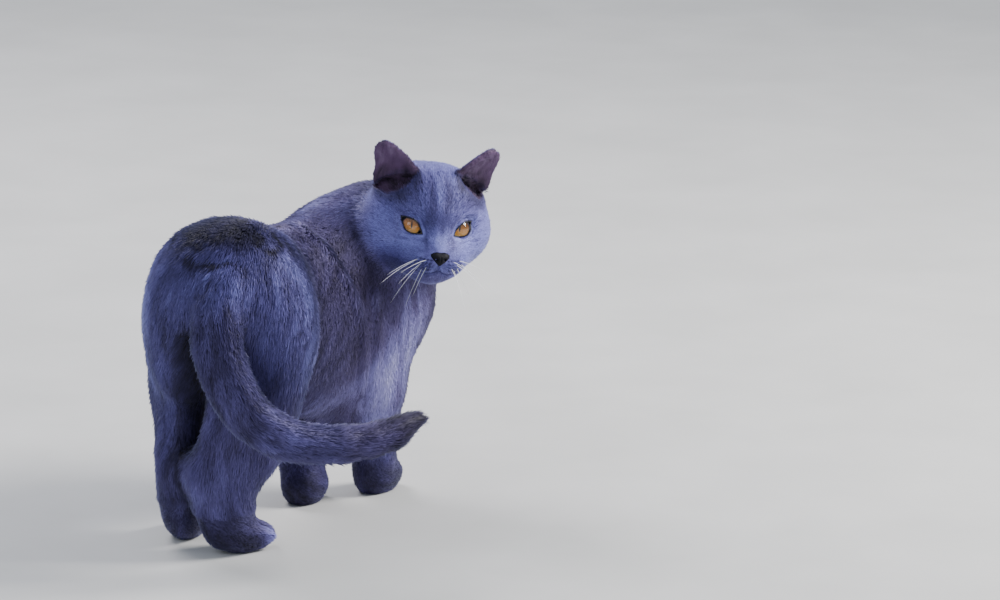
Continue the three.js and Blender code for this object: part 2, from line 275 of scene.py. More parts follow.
# Each vertex of the skin belongs to the solid that it is nearest to.
nodes = [name for name, _, _ in solids]
all_points, all_faces, face_node = [], [], []
for index, (name, places, faces) in enumerate(solids):
    start = len(all_points)
    all_points += places
    all_faces += [[start + i for i in face] for face in faces]
    face_node += [index] * len(faces)
outline = BVHTree.FromPolygons(all_points, all_faces)


def nearest_nodes(points):
    return np.array([face_node[outline.find_nearest(Vector(p))[2]] for p in points])


points = read(skin_mesh.vertices, "co", 3)
edges = read(skin_mesh.edges, "vertices", 2, np.int64)
owner = nearest_nodes(points)


def part_of(names):
    """1 at the vertices that belong to these nodes, and 0 at the others."""
    return np.isin(owner, [nodes.index(n) for n in names]).astype(float)


# Relaxed twice over, the second time on what the first took away, so that no volume is lost.
SMOOTHING = {"ear_left": 0.1, "ear_right": 0.1, "muzzle": 0.1, "lower_jaw": 0.1, "head": 0.14}
SMOOTHING |= {"nose": 0.1, "eye_left": 0.12, "eye_right": 0.12}
SMOOTHING |= {name: 0.25 for name in (*PAWS, "tail_tip")}
weight = np.array([SMOOTHING.get(name, 0.5) for name in nodes])[owner]
weight = spread(weight, edges, 6)
ROUNDS = 70
relaxed = spread(points, edges, ROUNDS, weight)
points = relaxed + spread(points - relaxed, edges, ROUNDS, weight)

# Depth of the coat under the outline, in mm.
COAT_DEPTH = {name: 5.2 for name in nodes}
COAT_DEPTH |= {"neck": 4.0, "shoulder_right": 4.2, "chest": 4.2, "ribcage": 4.6}
COAT_DEPTH |= {"head": 3.0, "muzzle": 1.6, "lower_jaw": 1.6, "nose": 0.8}
COAT_DEPTH |= {name: EAR_COVER / MM + 0.2 for name in EARS}
COAT_DEPTH |= {"eye_left": 1.5, "eye_right": 1.5}
COAT_DEPTH |= {"shank_left": 3.8, "shank_right": 3.8, "forearm_left": 3.6, "forearm_right": 3.6}
COAT_DEPTH |= {name: 2.0 for name in PAWS}
COAT_DEPTH |= {"tail_base": 6, "tail_middle": 6, "tail_tip": 5}


def coat_depth():
    return spread(np.array([COAT_DEPTH[name] for name in nodes])[owner] * MM, edges, 12)


depth = coat_depth()


def normals_of(points, mesh):
    mesh.vertices.foreach_set("co", points.astype(np.float32).ravel())
    mesh.update()
    return read(mesh.vertex_normals, "vector", 3)


normal = normals_of(points, skin_mesh)
SOLE_HEIGHT = 5 * MM
FACING_DOWN = -0.3
on_sole = np.clip(1 - points[:, 2] / SOLE_HEIGHT, 0, 1) * (normal[:, 2] < FACING_DOWN)
points = points - normal * (depth * (1 - on_sole))[:, None]
points[:, 2] = np.maximum(points[:, 2], LOWEST)


def centre(name):
    low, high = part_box(name)
    return np.array((low + high) / 2)


# The head's own axes: left, back and up, from the middle of the skull.
EYE_OUT = 25
EYE_BACK, EYE_UP = -28.5 * MM, -0.5 * MM
NOSE_DROP = math.atan2(28.5, 21.5)
between_eyes = (centre("eye_left") + centre("eye_right")) / 2
left_axis = unit(centre("eye_left") - centre("eye_right"))
to_nose = centre("nose") - between_eyes
to_nose = unit(to_nose - left_axis * (to_nose @ left_axis))
aside = np.cross(left_axis, to_nose)
back_axis = -math.cos(NOSE_DROP) * to_nose + math.sin(NOSE_DROP) * aside
up_axis = -math.sin(NOSE_DROP) * to_nose - math.cos(NOSE_DROP) * aside
head_origin = between_eyes - EYE_BACK * back_axis - EYE_UP * up_axis
FACE_TURN = math.radians(2)
HEAD_SHIFT = 0.8 * MM
left_axis, back_axis = (
    math.cos(FACE_TURN) * left_axis + math.sin(FACE_TURN) * back_axis,
    math.cos(FACE_TURN) * back_axis - math.sin(FACE_TURN) * left_axis,
)
head_origin = head_origin + HEAD_SHIFT * left_axis
head_axes = np.array([left_axis, back_axis, up_axis])


def to_head(points):
    return (points - head_origin) @ head_axes.T


def from_head(points):
    return np.asarray(points) @ head_axes + head_origin


# The face is cut finer, once over the whole front of the head and again round eyes, nose and mouth,
# and the front of each ear's base with it the first time.
FRONT_BACK, EYE_ZONE, MOUTH_ZONE = -8, 15, 24
EAR_INNER, EAR_BOTTOM, EAR_FRONT = 14, 18, 14
skin_mesh.vertices.foreach_set("co", points.astype(np.float32).ravel())
skin_mesh.update()
bm = bmesh.new()
bm.from_mesh(skin_mesh)
for within in (1.5, 1.0):
    chosen = set()
    for face in bm.faces:
        left, back, up = to_head(np.array(face.calc_center_median())) / MM
        if within > 1 and abs(left) > EAR_INNER and up > EAR_BOTTOM and back < EAR_FRONT:
            chosen.update(face.edges)
        if back > FRONT_BACK:
            continue
        by_eye = math.hypot(abs(left) - EYE_OUT, up - EYE_UP / MM) < EYE_ZONE * within
        low_enough = -50 * within < up < -22 / within
        if by_eye or (abs(left) < MOUTH_ZONE * within and low_enough and back < -22 / within):
            chosen.update(face.edges)
    bmesh.ops.subdivide_edges(bm, edges=list(chosen), cuts=1, use_grid_fill=True)
bmesh.ops.triangulate(bm, faces=bm.faces)
bm.to_mesh(skin_mesh)
bm.free()
points = read(skin_mesh.vertices, "co", 3)
edges = read(skin_mesh.edges, "vertices", 2, np.int64)
owner = nearest_nodes(points)
depth = coat_depth()
face_back = to_head(points) / MM
near_face = part_of(["head", "muzzle", "lower_jaw", "nose", *EYES]) * (face_back[:, 1] < FRONT_BACK)
points = spread(points, edges, 6, 0.4 * near_face)

# Lids: the skin rides over each eyeball and opens in an almond, its outer corner high. Inside the
# opening the skin sinks behind the ball, and a shallow fold runs above the upper lid.
EYE_RADIUS = 10.5
LID_THICK = 1.1
BEHIND_LID = 1.3
LID_TILT = math.radians(35)
LID_HALF_LENGTH = 13.0
LID_UPPER, LID_LOWER = 5.8, 7.2
LID_FULLNESS = 1.75
LID_SLOPE = 6.5
FOLD_AT, FOLD_DEEP = 4.2, 0.7
IRIS_PIT = 2.0


def eye_axes(side):
    """In the head's own axes: the eye's centre in mm, then the lids' long axis, their short one and
    which way the eye faces."""
    outward = unit(np.array([side * 0.24, -0.96, 0.06]))
    level = unit(np.array([side, 0, 0]) - outward * (outward[0] * side))
    upright = unit(np.array([0, 0, 1]) - outward * outward[2])
    long_axis = math.cos(LID_TILT) * level + math.sin(LID_TILT) * upright
    short_axis = math.cos(LID_TILT) * upright - math.sin(LID_TILT) * level
    return np.array([side * EYE_OUT, EYE_BACK / MM, EYE_UP / MM]), np.array([long_axis, short_axis, outward])


def lid_line(steps):
    """The edge of the opening, as (along, across) points in mm, round from the outer corner over the top."""
    turn = np.linspace(0, 2 * math.pi, steps, endpoint=False)
    along = LID_HALF_LENGTH * np.cos(turn)
    rise = 1 - np.abs(np.cos(turn)) ** LID_FULLNESS
    across = np.where(np.sin(turn) >= 0, LID_UPPER * rise, -LID_LOWER * rise)
    return np.stack([along, across], 1)


def by_lids(places, side):
    """For head-frame places in mm: the places on the eye's own axes, their distance from the edge of
    the lids, and whether they lie inside the opening."""
    middle_of_eye, axes = eye_axes(side)
    local = (places - middle_of_eye) @ axes.T
    along, across = local[:, 0], local[:, 1]
    line = lid_line(160)
    gap = np.full(len(places), 1e3)
    near = (np.hypot(along, across) < 24) & (local[:, 2] > -3)
    gap[near] = np.hypot(along[near, None] - line[:, 0], across[near, None] - line[:, 1]).min(1)
    rise = np.maximum(1 - np.abs(along / LID_HALF_LENGTH) ** LID_FULLNESS, 0)
    inside = near & (across < LID_UPPER * rise) & (across > -LID_LOWER * rise)
    return local, gap, inside


def add_lids(places, side):
    """Moves the head-frame places, in mm, near one eye into its lids."""
    middle_of_eye, axes = eye_axes(side)
    local, gap, inside = by_lids(places, side)
    near = gap < 24
    along, across, height = local[near].T
    gap, inside = gap[near], inside[near]
    radius = np.hypot(along, across)
    over_ball = np.sqrt(np.maximum((EYE_RADIUS + LID_THICK) ** 2 - radius**2, 0))
    behind_ball = np.sqrt(np.maximum((EYE_RADIUS - BEHIND_LID) ** 2 - radius**2, 0))
    near_lid = 1 - smooth_step(0, LID_SLOPE, gap)
    lid = height + (np.maximum(over_ball, height - 1.5) - height) * near_lid
    lid -= FOLD_DEEP * bell(gap - FOLD_AT) * smooth_step(0, 4, across)
    pit = np.minimum(np.where(radius < EYE_RADIUS - 1, behind_ball, height - 2), IRIS_PIT)
    local[near, 2] = np.where(inside, pit, lid)
    places[near] = local[near] @ axes + middle_of_eye
    return places


face = to_head(points) / MM
for side in (1, -1):
    face = add_lids(face, side)

# Mouth: a crease under the whisker pads that turns up a little at the corners, and a groove from it
# up to the nose. Between them the pads swell.
MOUTH = [(0, -40.5), (4, -42.4), (10, -44.0), (16, -43.2), (22, -39.5)]
GROOVE_TOP = -34.5
CREASE_DEEP, CREASE_WIDE = 2.0, 1.3
GROOVE_DEEP, GROOVE_WIDE = 1.1, 0.8
PAD_SWELL = 2.0


def from_route(places, route):
    """Distance to a chain of points, and the chain's direction at the nearest of them."""
    route = np.array(route, float)
    ways = np.diff(route, axis=0)
    gaps = []
    for start, way in zip(route, ways):
        t = np.clip((places - start) @ way / (way @ way), 0, 1)
        gaps.append(np.linalg.norm(places - start - t[:, None] * way, axis=1))
    return np.min(gaps, 0), unit(ways)[np.argmin(gaps, 0)]


on_front = 1 - smooth_step(-27, -20, face[:, 1])
both_sides = np.stack([np.abs(face[:, 0]), face[:, 2]], 1)
crease = CREASE_DEEP * bell(from_route(both_sides, MOUTH)[0], CREASE_WIDE)
groove = GROOVE_DEEP * bell(from_route(both_sides, [(0, GROOVE_TOP), MOUTH[0]])[0], GROOVE_WIDE)
face[:, 1] += np.maximum(crease, groove) * on_front
face[:, 1] -= PAD_SWELL * bell(np.linalg.norm((both_sides - (12, -35)) / (9, 7), axis=1)) * on_front

# Ears: the cup runs on down into the side of the head as a bowl. The bowl's rim, as (outward, up)
# points, runs down the inner side, under the cup and up its outer side.
BOWL_RIM = [(17, 52), (20, 46), (26, 36), (37, 27), (47, 22.5), (53, 27), (57, 42)]
BOWL_DEEP = 15.0
EAR_WIDER, EAR_FLARE = 3.5, 7.0
CUP_BACK, CUP_OUT, CUP_NOD = 13.9, 0.48, 0.893
EAR_SIDES = [(1, "ear_left"), (-1, "ear_right")]
outward, rise = both_sides.T
in_bowl = from_route(both_sides, BOWL_RIM)[0] * np.where(rise > np.interp(outward, *zip(*BOWL_RIM)), 1, -1)
in_bowl = np.where((outward > BOWL_RIM[0][0]) & (outward < BOWL_RIM[-1][0]), in_bowl, -9.0)
cup_back = CUP_BACK + CUP_OUT * outward - CUP_NOD * rise
on_skull = part_of(["head"]) * (face[:, 1] < cup_back - 1)
sunk = np.minimum(cup_back - 1, face[:, 1] + BOWL_DEEP * smooth_step(0, 6, in_bowl))
face[:, 1] = np.where(on_skull > 0, np.maximum(face[:, 1], sunk), face[:, 1])
flare = smooth_step(36, 52, outward) * bell(rise - 36, 13)
flare *= part_of(EARS) + 0.8 * part_of(["head"]) * bell(face[:, 1] - 2, 12)
face[:, 0] += np.sign(face[:, 0]) * EAR_FLARE * spread(flare, edges, 3)
for side, name in EAR_SIDES:
    way = unit(np.array([-side * 0.75, 0, 0.66]))
    rim_facing = normals_of(from_head(face * MM), skin_mesh) @ head_axes.T @ way
    widened = spread(smooth_step(0.3, 0.8, rim_facing) * part_of([name]), edges, 3)
    face = face + (EAR_WIDER * widened)[:, None] * way
near_bowl = (np.abs(in_bowl) < 12) * part_of(["head", *EARS]) * (face[:, 1] < cup_back + 2)
face = spread(face, edges, 5, 0.5 * near_bowl * (part_of(["head"]) + 0.25))
points = from_head(face * MM)


def spot(name, across, along, up):
    """A place in a node's box, by its share of each side."""
    low, high = (np.array(corner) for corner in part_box(name))
    return low + (high - low) * (across, along, up)


def fold_line(*spots):
    """A smooth chain through a few places in the nodes' boxes."""
    spots = [spot(*s) for s in spots]
    ends = [2 * spots[0] - spots[1], *spots, 2 * spots[-1] - spots[-2]]
    line = []
    for p0, p1, p2, p3 in zip(ends, ends[1:], ends[2:], ends[3:]):
        for t in np.linspace(0, 1, LINE_STEPS, endpoint=False):
            line.append(
                0.5 * (2 * p1 + (p2 - p0) * t + (2 * p0 - 5 * p1 + 4 * p2 - p3) * t**2)
                + 0.5 * (3 * p1 - p0 - 3 * p2 + p3) * t**3
            )
    return [*line, spots[-1]]


LINE_STEPS = 5

# Loose hide: two folds run down over the right shoulder, the second ahead of the first.
FOLDS = [
    fold_line(
        ("ribcage", 0.44, 0.61, 0.93),
        ("ribcage", 0.30, 0.67, 0.89),
        ("ribcage", 0.17, 0.61, 0.80),
        ("ribcage", 0.06, 0.46, 0.65),
        ("shoulder_right", 0.42, 0.82, 0.54),
        ("shoulder_right", 0.52, 0.79, 0.41),
        ("shoulder_right", 0.61, 0.76, 0.18),
    ),
    fold_line(
        ("shoulder_right", 0.48, 0.69, 0.67),
        ("shoulder_right", 0.41, 0.69, 0.43),
        ("shoulder_right", 0.49, 0.69, 0.27),
        ("shoulder_right", 0.59, 0.67, 0.10),
    ),
]
FOLD_RISE, FOLD_WIDTH = 3.4 * MM, 4.8 * MM
on_fold = np.max([bell(from_route(points, route)[0], FOLD_WIDTH) for route in FOLDS], 0)
points = points + normals_of(points, skin_mesh) * (FOLD_RISE * on_fold)[:, None]

# Toes: four on each paw, parted by grooves that run back from the tip.
TOE_GROOVE = 4.2 * MM
TOE_LENGTH = 24 * MM
GROOVES_AT, GROOVE_SHARE = (-0.46, 0.0, 0.46), 0.12
TOE_TURN = {"hind_foot_left": 24, "hind_foot_right": -32, "forepaw_left": -6, "forepaw_right": -10}


def toe_way(name):
    turn = math.radians(TOE_TURN[name])
    return np.array([math.sin(turn), -math.cos(turn), 0])


normal = normals_of(points, skin_mesh)
toe_clefts = np.zeros(len(points))
for name in PAWS:
    mine = owner == nodes.index(name)
    ahead = toe_way(name)
    across = np.array([-ahead[1], ahead[0], 0])
    forward = points @ ahead
    tip = forward[mine].max()
    on_toes = mine & (forward > tip - TOE_LENGTH)
    middle_line = np.median(points[on_toes] @ across)
    half = np.abs(points[on_toes] @ across - middle_line).max()
    share = (points @ across - middle_line) / half
    cleft = np.max([bell(share - groove, GROOVE_SHARE) for groove in GROOVES_AT], 0)
    fade = smooth_step(tip - TOE_LENGTH, tip - TOE_LENGTH / 2, forward) * mine
    low = 1 - smooth_step(26 * MM, 42 * MM, points[:, 2])
    toe_clefts += cleft * fade * low
points -= normal * (toe_clefts * TOE_GROOVE)[:, None]
points[:, 2] = np.maximum(points[:, 2], LOWEST)


def bump(places, at, reach):
    """1 at a point, falling to 0 over about that reach in mm."""
    return np.exp(-np.sum(((places - at) / (np.array(reach) * MM)) ** 2, 1))


# The belly hangs a little where it meets the forelegs.
BELLY_DROP = 7 * MM
hanging = bump(points, spot("chest", 0.3, 0.69, 0.0), (26, 26, 20)) * part_of(["chest", "ribcage"])
hanging = hanging * smooth_step(0.0, 0.5, -normal[:, 2])
points[:, 2] -= BELLY_DROP * spread(hanging, edges, 4)

# Between the thighs the hide runs far in under the tail.
REAR, DOWN = np.array([0.0, 1.0, 0.0]), np.array([0.0, 0.0, -1.0])
CLEFT_DEEP, CLEFT_WIDE = 13 * MM, 11 * MM
CLEFT = fold_line(
    ("rump", 0.46, 0.81, 0.31),
    ("thigh_left", 0.06, 0.77, 0.71),
    ("thigh_left", 0.10, 0.77, 0.10),
    ("shank_left", 0.10, 0.75, 0.20),
)
into_cleft = REAR * CLEFT_DEEP * bell(from_route(points, CLEFT)[0], CLEFT_WIDE)[:, None]
points = points - into_cleft
normal = normals_of(points, skin_mesh)

# The tail's middle line, through the cut faces and the middles of its three lengths, to its end.
solid_points = {name: np.array(found) for name, found, _ in solids}


def joint_of(first, second):
    """The middle of the cut face between two touching solids."""
    tree = KDTree(len(solid_points[second]))
    for index, place in enumerate(solid_points[second]):
        tree.insert(place, index)
    tree.balance()
    return np.mean([p for p in solid_points[first] if tree.find(Vector(p))[2] < 3 * MM], 0)


def middle_of(name):
    return np.mean(solid_points[name], 0)


last_joint = joint_of("tail_tip", "tail_middle")
from_joint = np.linalg.norm(solid_points["tail_tip"] - last_joint, axis=1)
tail_end = solid_points["tail_tip"][np.argmax(from_joint)]
tail_line = np.array(
    [
        joint_of("tail_base", "rump"),
        middle_of("tail_base"),
        joint_of("tail_base", "tail_middle"),
        middle_of("tail_middle"),
        last_joint,
        middle_of("tail_tip"),
        tail_end,
    ]
)

# The tail's end draws in to a point.
END_LENGTH, END_DRAWN = 32 * MM, 0.55
from_end = np.linalg.norm(points - tail_end, axis=1)
drawn = END_DRAWN * (1 - smooth_step(0, END_LENGTH, from_end)) * part_of(["tail_tip"])
points = points + (tail_end - points) * drawn[:, None]
normal = normals_of(points, skin_mesh)

# Which way the hair lies at each vertex: back from the nose over the head, rearwards along the trunk,
# out and down from the crown of the rump, down the legs, to the toes, and along the tail.
NOSE_TIP = np.array([0, -46, -26]) * MM
nose_point = from_head(NOSE_TIP)
crown = spot("rump", 0.5, 1, 1) - (0.012, 0.075, 0)
lie = np.tile(REAR + 0.45 * DOWN, (len(points), 1))


def comb(names, ways):
    """Sets the lie of the hair on these nodes."""
    mine = part_of(names) > 0
    lie[mine] = unit(np.broadcast_to(ways, points.shape)[mine])


comb(["head", "muzzle", "lower_jaw", "nose", *EYES], unit(points - nose_point) + 0.12 * back_axis)
comb(EARS, up_axis + 0.15 * back_axis)
not_rear = 1 - smooth_step(0.2, 0.75, normal[:, 1:2])
by_head = bell(np.linalg.norm(points - head_origin, axis=1), 120 * MM)[:, None]
from_the_head = unit(points - head_origin) * by_head
comb(["neck", "chest"], from_the_head + 0.2 * REAR * not_rear + DOWN)
comb(["shoulder_left", "shoulder_right"], from_the_head + 0.3 * REAR * not_rear + DOWN)
comb(["ribcage", "loin"], 0.8 * from_the_head + 0.6 * REAR * not_rear + 0.9 * DOWN)
comb(["rump"], (points - crown) / (60 * MM) * (1, 0.5, 0.6) + 0.9 * REAR + 0.55 * DOWN)
comb(["thigh_left", "thigh_right"], 0.35 * REAR + 1.0 * DOWN)
comb(["shank_left", "shank_right"], 0.12 * REAR + DOWN)
comb(["forearm_left", "forearm_right"], 0.15 * REAR + DOWN)
near_end = 1 - smooth_step(10 * MM, 34 * MM, np.linalg.norm(points - tail_end, axis=1))[:, None]
to_end = unit(tail_end + 16 * MM * unit(tail_end - last_joint) - points)
comb(TAIL, from_route(points, tail_line)[1] * (1 - near_end) + to_end * near_end)
for name in PAWS:
    comb([name], toe_way(name) + 0.5 * DOWN)
blurred = spread(lie, edges, 50)
stiff = part_of([*TAIL, *FACE])[:, None]
lie = unit(blurred * (1 - stiff) + spread(lie, edges, 6) * stiff)
lie = unit(lie - normal * np.sum(lie * normal, 1, keepdims=True))


def ripples(places, wavelength, seed):
    """A smooth uneven value about 0, with ripples of about that wavelength."""
    dice = np.random.default_rng(seed)
    total = np.zeros(len(places))
    for _ in range(7):
        way = unit(dice.normal(size=3))
        waves = 2 * math.pi / (wavelength * dice.uniform(0.7, 1.5))
        total += np.sin(places @ way * waves + dice.uniform(0, 6.28))
    return total / 2.6


def pad_roots(side):
    """Where whiskers spring on one pad: (left, up, row, column) in mm in the head's axes."""
    for row, (up, number) in enumerate(PAD_ROWS):
        for column in range(number):
            yield side * (9.0 + 3.1 * column + 0.8 * (row % 2)), up + 0.35 * column, row, column


# Markings and painted light and shade: how pale the coat is at each vertex, from 0, nearly black, to 1,
# silver. The rows of the whiskers' dark dots are (up, number of dots).
PAD_ROWS = [(-31.0, 4), (-33.8, 5), (-36.6, 5), (-39.4, 4)]
face = to_head(points) / MM
on_head = spread(part_of([*FACE, "nose", *EYES]), edges, 4)
in_front = 1 - smooth_step(-12, -2, face[:, 1])
BODY_TONE, HEAD_TONE = 0.385, 0.575
tone = BODY_TONE * (1 - on_head) + HEAD_TONE * on_head

# On the head: places (left, up), their reach, and how much paler. They lie on both sides, unless left is
# negative. The one with negative left, low on the right cheek by the jaw, is painted shadow where the head
# meets the neck.
HEAD_MARKS_AND_SHADE = [
    (0, 9, 8, 12, -0.14),
    (0, 26, 4, 14, 0.08),
    (9, 26, 4, 13, -0.10),
    (0, -15, 7, 9, 0.22),
    (0, -49, 14, 5, -0.10),
    (15, -33, 12, 8, 0.10),
    (32, 22, 14, 8, -0.12),
    (20, 38, 5, 12, -0.14),
    (12, 3, 4, 8, -0.14),
    (46, -12, 16, 20, 0.08),
    (28, -18, 12, 8, 0.07),
    (13, -15, 1.8, 7, -0.16),
    # painted shadow low on the right cheek, where the head meets the neck
    (-35, -37, 13, 8, -0.18),
]
for left, up, wide, tall, amount in HEAD_MARKS_AND_SHADE:
    outward = np.abs(face[:, 0]) if left >= 0 else face[:, 0]
    off = ((outward - left) / wide) ** 2 + ((face[:, 2] - up) / tall) ** 2
    tone += amount * np.exp(-off) * in_front * on_head
LID_EDGE, LID_RING, PAD_DOT = 0.8, 0.13, 0.42
for side in (1, -1):
    _, gap, inside = by_lids(face, side)
    tone = np.where(inside | (gap < LID_EDGE), -1.0, tone)
    below = 1 - smooth_step(-4, 4, face[:, 2])
    tone += LID_RING * bell(gap - 2.6, 1.8) * (0.35 + 0.65 * below)
    for left, up, _, _ in pad_roots(side):
        tone -= PAD_DOT * bell(face[:, 0] - left, 1.2) * bell(face[:, 2] - up, 0.9) * in_front

# On the body: a node, its shares across, along and up, the reach in mm, and how much paler. The paler places
# on the right shoulder and forearm are painted light on the chest and foreleg, and the one at the rump's
# left edge is a painted rim of light.
BODY_MARKS_AND_LIGHT = [
    ("rump", 0.45, 0.50, 1.0, 72, 42, 12, -0.5),
    ("rump", 0.25, 0.85, 0.70, 50, 36, 44, 0.07),
    # painted light on the chest and the right foreleg
    ("shoulder_right", 0.14, 0.43, 0.49, 28, 28, 46, 0.28),
    ("shoulder_right", 0.23, 0.51, 0.33, 26, 22, 34, 0.16),
    ("shoulder_right", 0.37, 0.61, 0.20, 24, 22, 36, 0.36),
    ("forearm_right", 0.2, 0.6, 0.6, 26, 20, 30, 0.26),
    ("ribcage", 0.05, 0.5, 0.35, 30, 50, 60, -0.02),
    ("ribcage", 0.1, 0.5, 0.1, 40, 60, 30, 0.14),
    ("rump", 0.80, 0.90, 0.60, 36, 40, 46, 0.10),
    ("rump", 0.12, 0.45, 0.55, 30, 36, 46, 0.10),
    ("shoulder_right", 0.45, 0.75, 0.75, 40, 50, 50, -0.08),
    ("tail_base", 0.5, 0.6, 0.6, 50, 40, 60, -0.13),
    ("ribcage", 0.55, 0.06, 0.97, 34, 44, 16, 0.10),
    ("chest", 0.47, 0.51, 0.97, 34, 50, 14, 0.16),
    # painted rim of light along the rump's left edge
    ("rump", 0.96, 0.6, 0.5, 34, 60, 60, 0.34),
    ("rump", 0.05, 0.38, 0.39, 8, 7, 3, -0.32),
    ("rump", 0.04, 0.33, 0.32, 8, 6, 3, -0.30),
    ("tail_tip", 0.1, 0.2, 0.7, 40, 40, 34, -0.32),
    ("neck", 0.5, 0.5, 0.5, 45, 45, 50, -0.09),
]
FOLD_HIGHLIGHT, CLEFT_SHADE, HAUNCH_HIGHLIGHT = 0.10, 0.5, 0.18
TOES_PALER, GROOVE_SHADE, LEGS_FLOOR_SHADE, PARTINGS_DARKER = 0.28, 0.4, 0.14, 0.5
for node, across, along, up, *reach, amount in BODY_MARKS_AND_LIGHT:
    tone += amount * bump(points, spot(node, across, along, up), reach) * (1 - on_head)
# Painted highlight along the raised folds.
tone += FOLD_HIGHLIGHT * on_fold
# Painted shade deep in the cleft between the thighs.
tone -= CLEFT_SHADE * bell(from_route(points + into_cleft, CLEFT)[0], 15 * MM)
# A painted highlight along the haunch's edge.
HAUNCH_EDGE = fold_line(
    ("rump", 0.19, 0.28, 0.80),
    ("rump", 0.08, 0.22, 0.52),
    ("rump", 0.04, 0.27, 0.31),
    ("rump", 0.05, 0.29, 0.08),
)
tone += HAUNCH_HIGHLIGHT * bell(from_route(points, HAUNCH_EDGE)[0], 11 * MM)
for name in PAWS:
    toes = (points - centre(name)) @ toe_way(name) / MM
    mine = spread(part_of([name]), edges, 40)
    tone += mine * TOES_PALER * smooth_step(12, 34, toes)
# Painted shade in the toes' grooves.
tone -= GROOVE_SHADE * toe_clefts
# Painted shade on the legs, darker towards the floor.
tone -= LEGS_FLOOR_SHADE * (1 - smooth_step(10 * MM, 75 * MM, points[:, 2])) * (1 - on_head)

# Partings: broken dark arcs round the crown of the rump, where the hair opens.
PARTINGS = [17 * MM, 30 * MM, 45 * MM]
PARTING_SEED, WAVER_SEED, CUP_SEED, LOCK_SEED = 40, 50, 70, 11
from_crown = np.linalg.norm((points - crown) * (1, 1, 0.8), axis=1)
parted = np.zeros(len(points))
for order, reach in enumerate(PARTINGS):
    broken = smooth_step(-0.2, 0.5, ripples(points, 34 * MM, PARTING_SEED + order))
    uneven = from_crown - reach - 2.5 * MM * ripples(points, 22 * MM, WAVER_SEED + order)
    parted = np.maximum(parted, bell(uneven, 3.0 * MM) * broken * part_of(["rump"]))
tone -= PARTINGS_DARKER * parted


def along_hair(values, rounds):
    """Values drawn in each round towards those of the neighbours ahead and behind."""
    a, b = edges.T
    n = len(values)
    way = unit(points[b] - points[a])
    pull = np.abs(np.sum(way * unit(lie[a] + lie[b]), 1)) ** 6 + 1e-4
    near = np.bincount(a, pull, n) + np.bincount(b, pull, n)
    for _ in range(rounds):
        total = np.bincount(a, pull * values[b], n) + np.bincount(b, pull * values[a], n)
        values = 0.4 * values + 0.6 * total / near
    return values


# Locks: the hair gathers in narrow streaks along its lie.
locks = along_hair(np.random.default_rng(LOCK_SEED).normal(size=len(points)), 30)
locks = (locks - locks.mean()) / locks.std()
tone += locks * (0.06 - 0.03 * on_head)
tone = np.clip(tone, 0.02, 0.95)

# The hair is warmer, towards plum, on the neck, shoulders and flanks than on the head and rump.
WARMTH = {name: 0.5 for name in nodes}
WARMTH |= {"neck": 0.85, "chest": 0.8, "shoulder_right": 0.9, "ribcage": 0.8, "loin": 0.75}
WARMTH |= {"head": 0.36, "muzzle": 0.28, "rump": 0.36}
WARMTH |= {"thigh_left": 0.4, "thigh_right": 0.55, "tail_tip": 0.7}
warmth = spread(np.array([WARMTH[name] for name in nodes])[owner], edges, 60)

# Inside the ears the hide is nearly bare and a warm brown; their rims are pale.
in_front_of_cup = part_of(["head"]) * (face[:, 1] < cup_back + 3)
in_front_of_cup = in_front_of_cup * (1 - smooth_step(0.0, 0.4, normal @ back_axis))
in_cup = smooth_step(1, 3, in_bowl) * in_front_of_cup
inner_ear = spread(in_cup, edges, 1)
BOWL_SHADE, EAR_RIM_PALER = 0.22, 0.3
# Painted shade in the hollow of each ear's bowl, in front of the cup.
tone -= BOWL_SHADE * smooth_step(-11, 0, in_bowl) * in_front_of_cup
for side, name in EAR_SIDES:
    opening = unit(np.array([side * 0.45, -0.87, 0.1])) @ head_axes
    facing = normal @ opening
    cupped = smooth_step(0.05, 0.45, facing) * part_of([name])
    inner_ear = np.maximum(inner_ear, spread(cupped, edges, 2))
    tone += EAR_RIM_PALER * bell(facing, 0.35) * part_of([name])
    # The cup's own brown is painted darker towards its bottom and inner side, shade in the hollow.
    height = smooth_step(36, 66, face[:, 2])
    outer = smooth_step(24, 44, side * face[:, 0])
    cup_tone = 0.2 + 0.26 * height + 0.14 * outer
    cup_tone = cup_tone + 0.05 * ripples(points, 12 * MM, CUP_SEED) + 0.05 * locks
    inside_cup = inner_ear * (side * face[:, 0] > 0)
    tone += (cup_tone - tone) * smooth_step(0.1, 0.6, inside_cup)


# The unwrap: each node's skin is laid flat from its six sides, and the pieces are packed in rows.
corners = read(skin_mesh.loops, "vertex_index", 1, np.int64).reshape(-1, 3)
tri_points = points[corners]
tri_normal = np.cross(tri_points[:, 1] - tri_points[:, 0], tri_points[:, 2] - tri_points[:, 0])
tri_area = np.linalg.norm(tri_normal, axis=1) / 2
tri_axis = np.abs(tri_normal).argmax(1)
tri_sign = np.take_along_axis(tri_normal, tri_axis[:, None], 1)[:, 0] > 0
chart = owner[corners[:, 0]] * 6 + tri_axis * 2 + tri_sign
CHART_MARGIN, SHEET_SPARE = 4 * MM, 1.12


def flat_places(places, axis):
    """The two coordinates that are left when each place is seen along its axis."""
    return np.take_along_axis(places, np.stack([(axis + 1) % 3, (axis + 2) % 3], 1), 1)


